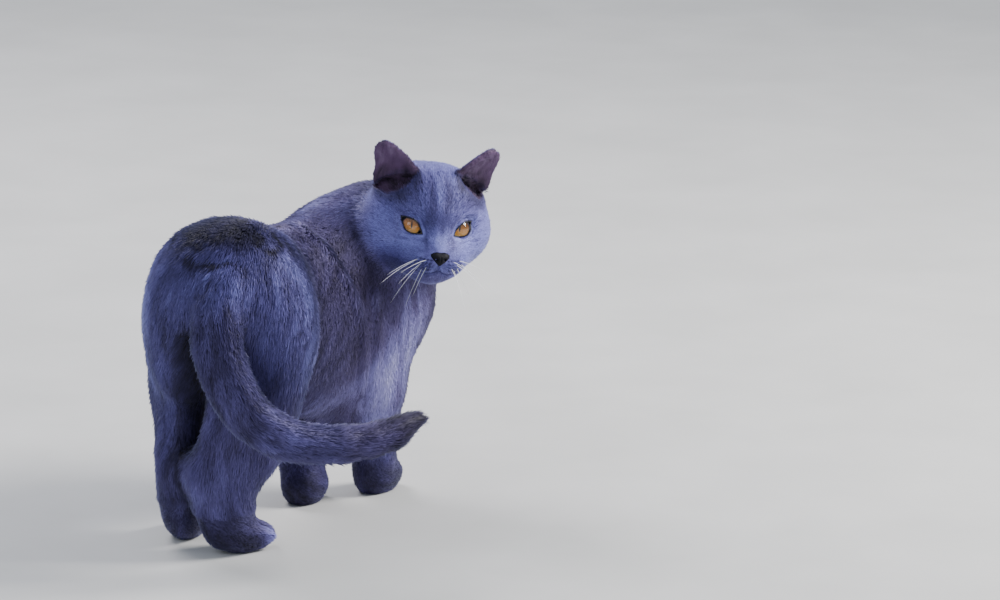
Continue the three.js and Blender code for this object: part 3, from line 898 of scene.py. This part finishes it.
flat_corners = flat_places(tri_points.reshape(-1, 3), np.repeat(tri_axis, 3)).reshape(-1, 3, 2)
used = np.unique(chart)
chart_low = {c: flat_corners[chart == c].min((0, 1)) for c in used}
chart_size = {c: flat_corners[chart == c].max((0, 1)) - chart_low[c] + CHART_MARGIN for c in used}
sheet_width = SHEET_SPARE * math.sqrt(sum(size[0] * size[1] for size in chart_size.values()))
cursor, row_height = np.array([CHART_MARGIN, CHART_MARGIN]), 0.0
chart_shift = np.zeros((used.max() + 1, 2))
for c in sorted(used, key=lambda c: -chart_size[c][1]):
    if cursor[0] + chart_size[c][0] > sheet_width:
        cursor = np.array([CHART_MARGIN, cursor[1] + row_height])
        row_height = 0.0
    chart_shift[c] = cursor - chart_low[c]
    cursor = cursor + (chart_size[c][0], 0)
    row_height = max(row_height, chart_size[c][1])
sheet = max(sheet_width, cursor[1] + row_height) + CHART_MARGIN
flat_corners = (flat_corners + chart_shift[chart][:, None]) / sheet


def write_attribute(mesh, name, values):
    mesh.attributes.new(name, "FLOAT", "POINT").data.foreach_set("value", values.astype(np.float32))


skin_mesh.uv_layers.new(name="OFBake")
skin_mesh.uv_layers["OFBake"].data.foreach_set("uv", flat_corners.astype(np.float32).ravel())
everywhere = np.ones(len(points))
for name, values in (
    ("tone", tone),
    ("bare", inner_ear),
    ("warmth", warmth),
    ("reach", 0.4 * everywhere),
    ("stray", 0.5 * everywhere),
):
    write_attribute(skin_mesh, name, values)


def attribute_node(tree, name):
    node = tree.nodes.new("ShaderNodeAttribute")
    node.attribute_name = name
    return node.outputs["Fac"]


def maths(tree, operation, *values):
    node = tree.nodes.new("ShaderNodeMath")
    node.operation = operation
    for socket, value in zip(node.inputs, values):
        if isinstance(value, (int, float)):
            socket.default_value = value
        else:
            tree.links.new(value, socket)
    return node.outputs[0]


def mix_colour(tree, factor, first, second):
    """A mix of two colours, each an output or a plain (red, green, blue)."""
    node = tree.nodes.new("ShaderNodeMix")
    node.data_type = "RGBA"
    tree.links.new(factor, node.inputs["Factor"])
    colours = [s for s in node.inputs if s.type == "RGBA"]
    for socket, value in zip(colours, (first, second)):
        if isinstance(value, tuple):
            socket.default_value = (*value, 1)
        else:
            tree.links.new(value, socket)
    return [s for s in node.outputs if s.type == "RGBA"][0]


def relief_node(tree, shader, height, distance, strength):
    """Fine relief on a shader, from a pattern of heights."""
    node = tree.nodes.new("ShaderNodeBump")
    node.inputs["Distance"].default_value = distance
    node.inputs["Strength"].default_value = strength
    tree.links.new(height, node.inputs["Height"])
    tree.links.new(node.outputs["Normal"], shader.inputs["Normal"])


HAIR_SHADES = [
    (0.0, (0.004, 0.004, 0.011)),
    (0.3, (0.028, 0.029, 0.112)),
    (0.55, (0.088, 0.093, 0.33)),
    (0.8, (0.26, 0.30, 0.82)),
    (1.0, (0.48, 0.55, 0.97)),
]
WARM_SHADES = [
    (0.0, (0.006, 0.004, 0.009)),
    (0.3, (0.050, 0.036, 0.090)),
    (0.55, (0.150, 0.118, 0.275)),
    (0.8, (0.37, 0.34, 0.74)),
    (1.0, (0.60, 0.57, 0.95)),
]
INNER_EAR_SHADES = [(0.1, (0.010, 0.006, 0.011)), (0.6, (0.138, 0.076, 0.165)), (0.95, (0.28, 0.20, 0.32))]

TIP_GAIN, STRAY_GAIN, GRAIN_GAIN = 0.3, 0.12, 0.12
COAT_SURFACE = {
    "Roughness": 0.55,
    "Specular IOR Level": 0.26,
    "Sheen Weight": 0.26,
    "Sheen Roughness": 0.4,
    "Sheen Tint": (0.6, 0.66, 1.0, 1),
}


def coat_material(name):
    """Hair that pales from root to tip, over the markings, with a fine uneven grain."""
    material, tree, shader = new_material(name, COAT_SURFACE)
    grain = noise_node(tree, object_place(tree), 260, 4, 0.6)
    value = attribute_node(tree, "tone")
    for change, gain in (
        (attribute_node(tree, "reach"), TIP_GAIN),
        (attribute_node(tree, "stray"), STRAY_GAIN),
        (grain, GRAIN_GAIN),
    ):
        change = maths(tree, "SUBTRACT", change, 0.5)
        value = maths(tree, "ADD", value, maths(tree, "MULTIPLY", change, gain))
    cool, warm, inner = (
        ramp_node(tree, value, shades) for shades in (HAIR_SHADES, WARM_SHADES, INNER_EAR_SHADES)
    )
    colour = mix_colour(tree, attribute_node(tree, "warmth"), cool, warm)
    colour = mix_colour(tree, attribute_node(tree, "bare"), colour, inner)
    tree.links.new(colour, shader.inputs["Base Color"])
    return material, tree, shader


def add_piece(mesh, slot, *replaced):
    """Puts a finished mesh in the scene as a piece of the animal."""
    piece = put_in_scene(mesh.name, mesh)
    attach(piece, "root")
    if replaced:
        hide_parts(*replaced)


material, tree, shader = coat_material("hide")
relief_node(tree, shader, noise_node(tree, object_place(tree), 900, 3), 0.4 * MM, 0.6)
skin_mesh.materials.clear()
skin_mesh.materials.append(material)
add_piece(skin_mesh, "coat", *FLESH)


# ---- Nose leather ----
# Bare black pebbled skin on the end of the muzzle, broad above and narrowing to the groove below it,
# with a comma-shaped nostril each side. It grows out of the skin round it.

NOSE_HALF_WIDTH, NOSE_HALF_HEIGHT, NOSE_HALF_DEPTH = 13.2, 7.0, 6.0
NOSTRIL_OUT, NOSTRIL_DROP = 4.2, 0.4
HOLE_DEEP, SLIT_DEEP, PARTING_DEEP = 2.6, 1.3, 0.7
bm = bmesh.new()
bmesh.ops.create_uvsphere(bm, u_segments=96, v_segments=64, radius=1)
nose_middle = to_head(centre("nose")) / MM * (0, 1, 1) + (0, -2.6, -0.6)
for v in bm.verts:
    x, y, z = v.co
    waist = 0.66 + 0.42 * min(z, 0.6)
    left = x * NOSE_HALF_WIDTH * max(waist, 0.2)
    back = y * NOSE_HALF_DEPTH
    up = z * NOSE_HALF_HEIGHT
    if y < 0:
        up += 0.9 * (min(abs(left) / 4.5, 1) ** 2 - 0.6) * max(z, 0)
        hole = math.exp(-(((abs(left) - NOSTRIL_OUT) / 1.35) ** 2) - ((up + NOSTRIL_DROP) / 1.25) ** 2)
        along = min(max((abs(left) - NOSTRIL_OUT) / 4.5, 0), 1)
        slit = math.exp(-(((up + NOSTRIL_DROP - 1.6 * along) / 0.7) ** 2))
        slit *= (abs(left) > NOSTRIL_OUT) * (1 - along)
        groove = math.exp(-((left / 0.55) ** 2)) * (z < 0.45)
        back += HOLE_DEEP * hole + SLIT_DEEP * slit + PARTING_DEEP * groove
    v.co = from_head((nose_middle + (left, back, up)) * MM)
bmesh.ops.recalc_face_normals(bm, faces=bm.faces)
nose_mesh = mesh_of(bm, "nose_leather")
NOSE_SHADES = [(0.3, (0.003, 0.003, 0.006)), (0.75, (0.009, 0.009, 0.016))]
NOSE_SURFACE = {"Roughness": 0.5, "Specular IOR Level": 0.15}
material, tree, shader = mottled("nose_leather", 500, NOSE_SHADES, NOSE_SURFACE)
pebbles = tree.nodes.new("ShaderNodeTexVoronoi")
pebbles.inputs["Scale"].default_value = 1500
tree.links.new(object_place(tree), pebbles.inputs["Vector"])
relief_node(tree, shader, pebbles.outputs["Distance"], 0.25 * MM, 0.7)
nose_mesh.materials.append(material)
add_piece(nose_mesh, "nose_leather", "nose")


# ---- Eyes ----
# Wet round balls. Each has a copper iris sunk behind the limbus, with a dark ring round it and a narrow
# upright pupil, and a clear cornea domed over it. Both look at the viewer behind the cat.

IRIS_RADIUS = 9.3
IRIS_SINK = 0.5
PUPIL_HALF_WIDTH, PUPIL_HALF_HEIGHT = 0.85, 3.7
GAZE = unit(np.array([-0.22, -0.97, 0.08]))
COPPER = [
    (0.15, (0.16, 0.055, 0.005)),
    (0.40, (0.47, 0.16, 0.010)),
    (0.60, (0.76, 0.30, 0.024)),
    (0.85, (0.96, 0.52, 0.09)),
]
LIMBUS_COLOUR, PUPIL_COLOUR = (0.008, 0.006, 0.006), (0.002, 0.002, 0.003)


def range_node(tree, value, low, high, interpolation="LINEAR"):
    """0 at the low value and 1 at the high one."""
    node = tree.nodes.new("ShaderNodeMapRange")
    node.interpolation_type = interpolation
    node.inputs["From Min"].default_value = low
    node.inputs["From Max"].default_value = high
    tree.links.new(value, node.inputs["Value"])
    return node.outputs[0]


def eye_material(side, to_world):
    """The iris by distance and angle round the gaze, on the ball's own axes."""
    material, tree, shader = new_material(f"iris_{side}", {"Roughness": 0.3})
    on_ball = tree.nodes.new("ShaderNodeMapping")
    on_ball.vector_type = "TEXTURE"
    on_ball.inputs["Location"].default_value = to_world.translation
    on_ball.inputs["Rotation"].default_value = to_world.to_euler()
    tree.links.new(object_place(tree), on_ball.inputs["Vector"])
    split = tree.nodes.new("ShaderNodeSeparateXYZ")
    tree.links.new(on_ball.outputs["Vector"], split.inputs[0])
    x, y, _ = split.outputs

    def sum_of_squares(a, b):
        return maths(tree, "ADD", maths(tree, "MULTIPLY", a, a), maths(tree, "MULTIPLY", b, b))

    share = maths(tree, "DIVIDE", maths(tree, "SQRT", sum_of_squares(x, y)), IRIS_RADIUS * MM)
    angle = maths(tree, "ARCTAN2", y, x)
    polar = tree.nodes.new("ShaderNodeCombineXYZ")
    tree.links.new(maths(tree, "MULTIPLY", angle, 7.0), polar.inputs[0])
    tree.links.new(maths(tree, "MULTIPLY", share, 1.4), polar.inputs[1])
    fibres = noise_node(tree, polar.outputs[0], 2.2, 5, 0.65)
    # The iris is painted darker towards its top: the upper lid's shadow.
    lid_shadow = maths(tree, "MULTIPLY", maths(tree, "DIVIDE", y, IRIS_RADIUS * MM), -0.42)
    value = maths(tree, "ADD", maths(tree, "MULTIPLY", fibres, 0.75), maths(tree, "ADD", lid_shadow, 0.08))
    colour = ramp_node(tree, value, COPPER)
    limbus_ring = range_node(tree, share, 0.9, 1.0, "SMOOTHSTEP")
    colour = mix_colour(tree, limbus_ring, colour, LIMBUS_COLOUR)
    wide = maths(tree, "DIVIDE", x, PUPIL_HALF_WIDTH * MM)
    tall = maths(tree, "DIVIDE", y, PUPIL_HALF_HEIGHT * MM)
    pupil = range_node(tree, sum_of_squares(wide, tall), 1.25, 0.8)
    colour = mix_colour(tree, pupil, colour, PUPIL_COLOUR)
    tree.links.new(colour, shader.inputs["Base Color"])
    return material


cornea_material, tree, shader = new_material("cornea", {})
clear = tree.nodes.new("ShaderNodeBsdfTransparent")
gloss = tree.nodes.new("ShaderNodeBsdfGlossy")
gloss.inputs["Roughness"].default_value = 0.03
wet = tree.nodes.new("ShaderNodeMixShader")
wet.inputs[0].default_value = 0.05
tree.links.new(clear.outputs[0], wet.inputs[1])
tree.links.new(gloss.outputs[0], wet.inputs[2])
tree.nodes.remove(shader)
tree.links.new(wet.outputs[0], tree.nodes["Material Output"].inputs["Surface"])

CORNEA_RISE = 0.9
limbus = math.sqrt(EYE_RADIUS**2 - IRIS_RADIUS**2) * MM
gaze = GAZE @ head_axes
upright = unit(up_axis - gaze * (up_axis @ gaze))
across = np.cross(upright, gaze)


def eye_sphere(radius):
    """A finely cut sphere in metres, with its poles on the gaze."""
    bm = bmesh.new()
    bmesh.ops.create_uvsphere(bm, u_segments=96, v_segments=64, radius=radius)
    return bm


for side, name in ((1, "eye_left"), (-1, "eye_right")):
    to_world = Matrix((across, upright, gaze)).transposed().to_4x4()
    to_world.translation = from_head(eye_axes(side)[0] * MM)
    bm = eye_sphere(EYE_RADIUS * MM)
    for v in bm.verts:
        out = math.hypot(v.co.x, v.co.y)
        if v.co.z > 0 and out < IRIS_RADIUS * MM:
            v.co.z = limbus - IRIS_SINK * MM * (1 - out / (IRIS_RADIUS * MM)) ** 0.5
    bm.transform(to_world)
    ball = mesh_of(bm, f"{name}_ball")
    ball.materials.append(eye_material(name, to_world))
    add_piece(ball, "eye", name)

    bm = eye_sphere((EYE_RADIUS + 0.1) * MM)
    bmesh.ops.bisect_plane(
        bm,
        geom=[*bm.verts, *bm.edges, *bm.faces],
        plane_co=(0, 0, limbus - 0.3 * MM),
        plane_no=(0, 0, 1),
        clear_inner=True,
    )
    for v in bm.verts:
        out = math.hypot(v.co.x, v.co.y) / (IRIS_RADIUS * MM)
        v.co.z += CORNEA_RISE * MM * (1 - min(out, 1) ** 2)
    bmesh.ops.solidify(bm, geom=bm.faces[:], thickness=0.3 * MM)
    bmesh.ops.recalc_face_normals(bm, faces=bm.faces)
    bm.transform(to_world)
    dome = mesh_of(bm, f"{name}_cornea")
    dome.materials.append(cornea_material)
    add_piece(dome, "eye")


# ---- Lid margins ----
# The bare black edge of the lids, a thin moist roll that runs round each opening on the ball and out
# into the tear line at the inner corner.

MARGIN_RADIUS = 0.62
RIM_STEPS = 96
RAY_START = 30
RAY_REACH = 0.06
RIM_SHADES = [(0.3, (0.004, 0.004, 0.006)), (0.8, (0.014, 0.013, 0.018))]
skin_tree = BVHTree.FromPolygons([Vector(p) for p in points], [list(c) for c in corners])
rim_material, _, _ = mottled("lid_margin", 700, RIM_SHADES, {"Roughness": 0.35})

for side, name in ((1, "lid_margin_left"), (-1, "lid_margin_right")):
    middle_of_eye, axes = eye_axes(side)
    line = lid_line(RIM_STEPS)
    wider = line * (1 + 0.5 / np.linalg.norm(line, axis=1, keepdims=True))
    heights = []
    for (along, across), (x, y) in zip(line, wider):
        start = from_head(((np.array([x, y, RAY_START]) @ axes) + middle_of_eye) * MM)
        down = -(axes[2] @ head_axes)
        hit = skin_tree.ray_cast(Vector(start), Vector(down), RAY_REACH)
        skin_height = RAY_START - hit[3] / MM if hit[0] else 0
        ball_height = math.sqrt(max(EYE_RADIUS**2 - along**2 - across**2, 0))
        heights.append(max(ball_height + 0.1, skin_height - 0.35))
    heights = np.array(heights)
    for _ in range(4):
        heights = (np.roll(heights, 1) + 2 * heights + np.roll(heights, -1)) / 4
    route = np.column_stack([line, heights]) @ axes + middle_of_eye
    curve = bpy.data.curves.new(name, "CURVE")
    curve.dimensions = "3D"
    curve.bevel_depth = MARGIN_RADIUS * MM
    curve.bevel_resolution = 3
    spline = curve.splines.new("POLY")
    spline.points.add(RIM_STEPS - 1)
    for point, place_at, (along, across) in zip(spline.points, route, line):
        point.co = (*from_head(place_at * MM), 1)
        point.radius = 1.0 + 0.5 * (abs(along) / LID_HALF_LENGTH) ** 3 + (0.25 if across > 0 else 0)
    spline.use_cyclic_u = True
    rim = put_in_scene(name, curve)
    rim_mesh = bpy.data.meshes.new_from_object(rim)
    bpy.data.objects.remove(rim)
    rim_mesh.name = name
    rim_mesh.materials.append(rim_material)
    add_piece(rim_mesh, "nose_leather")


# ---- Coat ----
# Short dense plush of fine hairs that stands a little off the hide. Each tuft is a thin closed leaf that
# leaves the hide, bends over and lies along the body, and a neighbourhood of them leans alike.

rng = np.random.default_rng(7)
TRUNK = ["chest", "shoulder_left", "shoulder_right", "ribcage", "loin", "rump", "neck"]
UPPER_LEGS = ["thigh_left", "thigh_right"]
LOWER_LEGS = ["shank_left", "shank_right", "forearm_left", "forearm_right"]
# Tufts to the square millimetre, and a tuft's length and width in mm.
TUFTS = {name: (1.0, 12.0, 0.9) for name in (*TRUNK, *UPPER_LEGS)}
TUFTS |= {"rump": (0.94, 14.0, 0.9), "neck": (1.25, 8.0, 0.75), "shoulder_right": (1.3, 8.5, 0.75)}
TUFTS |= {"ribcage": (1.05, 9.5, 0.8)}
TUFTS |= {name: (0.98, 8.5, 0.85) for name in LOWER_LEGS}
TUFTS |= {name: (0.98, 14.0, 0.9) for name in ("shank_left", "shank_right", "thigh_right")}
TUFTS |= {name: (1.0, 4.6, 0.75) for name in PAWS}
TUFTS |= {name: (1.06, 12.0, 0.9) for name in TAIL}
TUFTS |= {name: (1.9, 5.8, 0.62) for name in ("head", *EYES)}
TUFTS |= {"muzzle": (3.3, 3.0, 0.42), "nose": (3.3, 2.0, 0.4), "lower_jaw": (3.0, 3.6, 0.45)}
TUFTS |= {name: (3.2, 2.8, 0.4) for name in EARS}
table = np.array([TUFTS[name] for name in nodes])[owner]
table = spread(table, edges, 16)
tuft_density, tuft_length, tuft_width = table.T
tuft_density = tuft_density * (1 - smooth_step(0.5, 0.9, -normal[:, 2]) * (points[:, 2] < 3 * MM))
tuft_density = tuft_density * (1 - 0.4 * smooth_step(0.3, 0.9, -normal[:, 2]))
coat_rise = np.where(part_of(EARS) > 0, 0.7 * MM, depth)
PATCH = 0.003
SOFTNESS = 0.7
HAIR_LOWEST = 0.2 * MM
# A tuft's corners are its root, its two shoulders and its tip.
TUFT_FACES = [(0, 1, 2), (3, 2, 1), (0, 3, 1), (0, 2, 3)]
TUFT_REACH, TUFT_ACROSS = [0, 0.4, 0.4, 1], [0, -1, 1, 0]


def strands(name, slot, places, faces, reach, across, above, extras, patch_at, material):
    """Many copies of one closed strand, joined. places is (count, size, 3), faces index one strand,
    and reach and across say how far along and across the strand each of its corners lies."""
    count, size, _ = places.shape
    places[..., 2] = np.maximum(places[..., 2], HAIR_LOWEST)
    corners = (np.arange(count)[:, None, None] * size + np.array(faces)).reshape(-1)
    mesh = bpy.data.meshes.new(name)
    mesh.vertices.add(count * size)
    mesh.vertices.foreach_set("co", places.astype(np.float32).ravel())
    mesh.loops.add(len(corners))
    mesh.loops.foreach_set("vertex_index", corners.astype(np.int32))
    mesh.polygons.add(len(corners) // 3)
    mesh.polygons.foreach_set("loop_start", np.arange(0, len(corners), 3, dtype=np.int32))
    mesh.update(calc_edges=True)
    write_attribute(mesh, "reach", np.tile(reach, count))
    for key, values in extras.items():
        write_attribute(mesh, key, np.repeat(values, size))
    offset = np.stack([np.array(across) * 0.5, np.array(reach) - 0.5], 1) * PATCH
    uv = (patch_at[:, None] + offset).reshape(-1, 2)[corners]
    mesh.uv_layers.new(name="OFBake").data.foreach_set("uv", uv.astype(np.float32).ravel())
    own = read(mesh.vertex_normals, "vector", 3)
    soft = unit(own * (1 - SOFTNESS) + np.repeat(above, size, 0) * SOFTNESS)
    mesh.normals_split_custom_set_from_vertices(soft.astype(np.float32))
    mesh.materials.append(material)
    add_piece(mesh, slot)


def by_nose(places):
    """How far head-frame places in mm lie from the nose leather's middle, 1 at its edge."""
    left, back, up = (places - nose_middle).T
    across = NOSE_HALF_WIDTH * (0.68 + 0.42 * np.clip(up / NOSE_HALF_HEIGHT, -1, 0.6))
    shape = np.hypot(left / across, up / NOSE_HALF_HEIGHT)
    return np.where(back < 14, shape, 9.0)


def bare_places(places):
    """1 where no hair grows: inside the lids, on their edge and under the nose leather."""
    local = to_head(places) / MM
    bare = (by_nose(local) < 0.95).astype(float)
    for side in (1, -1):
        _, gap, inside = by_lids(local, side)
        bare[inside | (gap < 0.55)] = 1
    return bare


def short_places(places):
    """The share of its length that hair keeps there: least round the eyes and the nose."""
    local = to_head(places) / MM
    keep = 0.35 + 0.65 * smooth_step(1.0, 2.2, by_nose(local))
    for side in (1, -1):
        _, gap, _ = by_lids(local, side)
        keep = np.minimum(keep, 0.3 + 0.7 * smooth_step(0.5, 7, gap))
    return keep


SWING_ALIKE, SWING_STRAY = 0.10, 0.08
KNEE_ALONG, KNEE_UP, ROOT_DEEP = 0.36, 0.62, 0.3 * MM
def add_coat(name, members, material, within):
    """Scatters tufts over these nodes' skin, where within is true."""
    mine = np.isin(owner[corners[:, 0]], [nodes.index(n) for n in members]) & within[corners[:, 0]]
    tris = corners[mine]
    weight = tri_area[mine] / MM**2 * tuft_density[tris].mean(1)
    count = int(weight.sum() * (1))
    edges_of = np.cumsum(weight)
    pick = np.minimum(np.searchsorted(edges_of, rng.random(count) * edges_of[-1]), len(tris) - 1)
    u, v = rng.random((2, count))
    fold = u + v > 1
    u[fold], v[fold] = 1 - u[fold], 1 - v[fold]
    share = np.stack([1 - u - v, u, v], 1)
    tri = tris[pick]

    def at(values):
        return np.einsum("nk...,nk->n...", values[tri], share)

    bare = np.maximum(bare_places(at(points)), 0.8 * at(inner_ear))
    kept = rng.random(count) > bare
    pick, share, tri, bare = pick[kept], share[kept], tri[kept], bare[kept]
    count = len(pick)
    root, up = at(points), unit(at(normal))
    way = unit(at(lie))
    side = np.cross(up, way)
    swing = SWING_ALIKE * ripples(root, 18 * MM, 1) + SWING_STRAY * rng.normal(size=count)
    way = unit(way * np.cos(swing)[:, None] + side * np.sin(swing)[:, None])
    side = unit(np.cross(up, way))
    length = at(tuft_length) * MM * rng.uniform(0.7, 1.2, count) * short_places(root)
    lift = 0.84 + 0.06 * at(locks) + 0.11 * rng.normal(size=count) + 0.35 * (rng.random(count) < 0.04)
    rise = at(coat_rise) * short_places(root) * np.clip(lift, 0.4, 1.35)
    rise = np.minimum(rise, length * 0.75)
    run = np.sqrt(length**2 - rise**2)
    half = side * (at(tuft_width) * MM * rng.uniform(0.35, 0.62, count))[:, None]
    knee = root + way * (KNEE_ALONG * run)[:, None] + up * (KNEE_UP * rise)[:, None]
    tip = root + way * run[:, None] + up * rise[:, None]
    places = np.stack([root - up * ROOT_DEEP, knee - half, knee + half, tip], 1)
    extras = {"tone": at(tone), "bare": at(inner_ear), "warmth": at(warmth), "stray": rng.random(count)}
    flat = np.einsum("nkc,nk->nc", flat_corners[mine][pick], share)
    strands(name, "coat", places, TUFT_FACES, TUFT_REACH, TUFT_ACROSS, up, extras, flat, material)


hair, _, _ = coat_material("hair")
HEAD = ["head", "nose", *EYES, "muzzle", "lower_jaw"]
FACE_EDGE, HAUNCH_TOP = -22, 0.215
add_coat("coat_face", HEAD, hair, face[:, 1] < FACE_EDGE)
add_coat("coat_head", HEAD, hair, face[:, 1] >= FACE_EDGE)
add_coat("coat_rump", ["rump"], hair, points[:, 2] > HAUNCH_TOP)
add_coat("coat_haunches", ["rump"], hair, points[:, 2] <= HAUNCH_TOP)
COAT_PIECES = {
    "coat_ears": EARS,
    "coat_neck": ["neck", "chest"],
    "coat_shoulder_left": ["shoulder_left"],
    "coat_shoulder_right": ["shoulder_right"],
    "coat_trunk": ["ribcage", "loin"],
    "coat_thighs": UPPER_LEGS,
    "coat_lower_legs": LOWER_LEGS,
    "coat_paws": PAWS,
    "coat_tail": TAIL,
}
for name, members in COAT_PIECES.items():
    add_coat(name, members, hair, everywhere > 0)


# ---- Whiskers ----
# Stiff white tapering hairs, in four rows on each pad. They spring outwards from the dark dots on the
# pads and droop.

WHISKER_WIDTH = 0.7
WHISKER_STEPS = 12
WHISKER_ROOT = 0.8 * MM
WHISKER_DROOP = 0.22
roots, ways, lengths = [], [], []
for side in (1, -1):
    for left, up, row, column in pad_roots(side):
        if column == 0 or (row + column) % 2 == 0:
            continue
        roots.append((left, -60, up))
        drop = -0.25 - 0.34 * row + rng.normal(0, 0.12)
        aim_out = side * (0.85 - 0.12 * row + 0.06 * column)
        ways.append(unit(np.array([aim_out, -0.3 + 0.1 * column, drop])))
        lengths.append((24 + 6 * column) * rng.uniform(0.8, 1.15))
spines = []
forward_way = Vector(back_axis)
for root, way, length in zip(roots, ways, lengths):
    hit = skin_tree.ray_cast(Vector(from_head(np.array(root) * MM)), forward_way, 0.08)
    start = np.array(hit[0]) if hit[0] else from_head(np.array(root) * MM)
    share = np.linspace(0, 1, WHISKER_STEPS)[:, None]
    droop = DOWN * (WHISKER_DROOP * length * MM) * share**2
    way = (way @ head_axes) * (length * MM)
    spines.append(start + back_axis * WHISKER_ROOT + way * share + droop)
spines = np.array(spines)
step = unit(np.diff(spines, axis=1)[:, 0])
above = unit(up_axis - step * np.sum(step * up_axis, 1, keepdims=True))
aside = np.cross(above, step)
rings = WHISKER_STEPS - 2
taper = WHISKER_WIDTH / 2 * MM * np.linspace(1, 0.3, rings)[:, None]
inner = spines[:, 1:-1]
ring = [inner + taper * (x * aside + y * above)[:, None] for x, y in ((-1, -0.4), (0, 1), (1, -0.4))]
ring = np.stack(ring, 2).reshape(len(spines), -1, 3)
places = np.concatenate([spines[:, :1], ring, spines[:, -1:]], 1)
last = 3 * rings + 1
faces = []
for i in range(3):
    j = (i + 1) % 3
    faces += [(0, 1 + i, 1 + j), (last, last - 3 + j, last - 3 + i)]
    for start in range(1, last - 3, 3):
        faces += [(start + i, start + 3 + i, start + 3 + j), (start + i, start + 3 + j, start + j)]
white, tree, shader = new_material("whisker", {"Roughness": 0.35})
tint = ramp_node(tree, attribute_node(tree, "reach"), [(0.0, (0.78, 0.80, 0.86)), (1.0, (0.93, 0.94, 0.97))])
tree.links.new(tint, shader.inputs["Base Color"])
reach = [0, *np.repeat(np.linspace(0, 1, WHISKER_STEPS)[1:-1], 3), 1]
across = [0, *([-1, 0, 1] * rings), 0]
patch_at = np.full((len(spines), 2), 0.5)
strands("whiskers", "whisker", places, faces, reach, across, above, {}, patch_at, white)
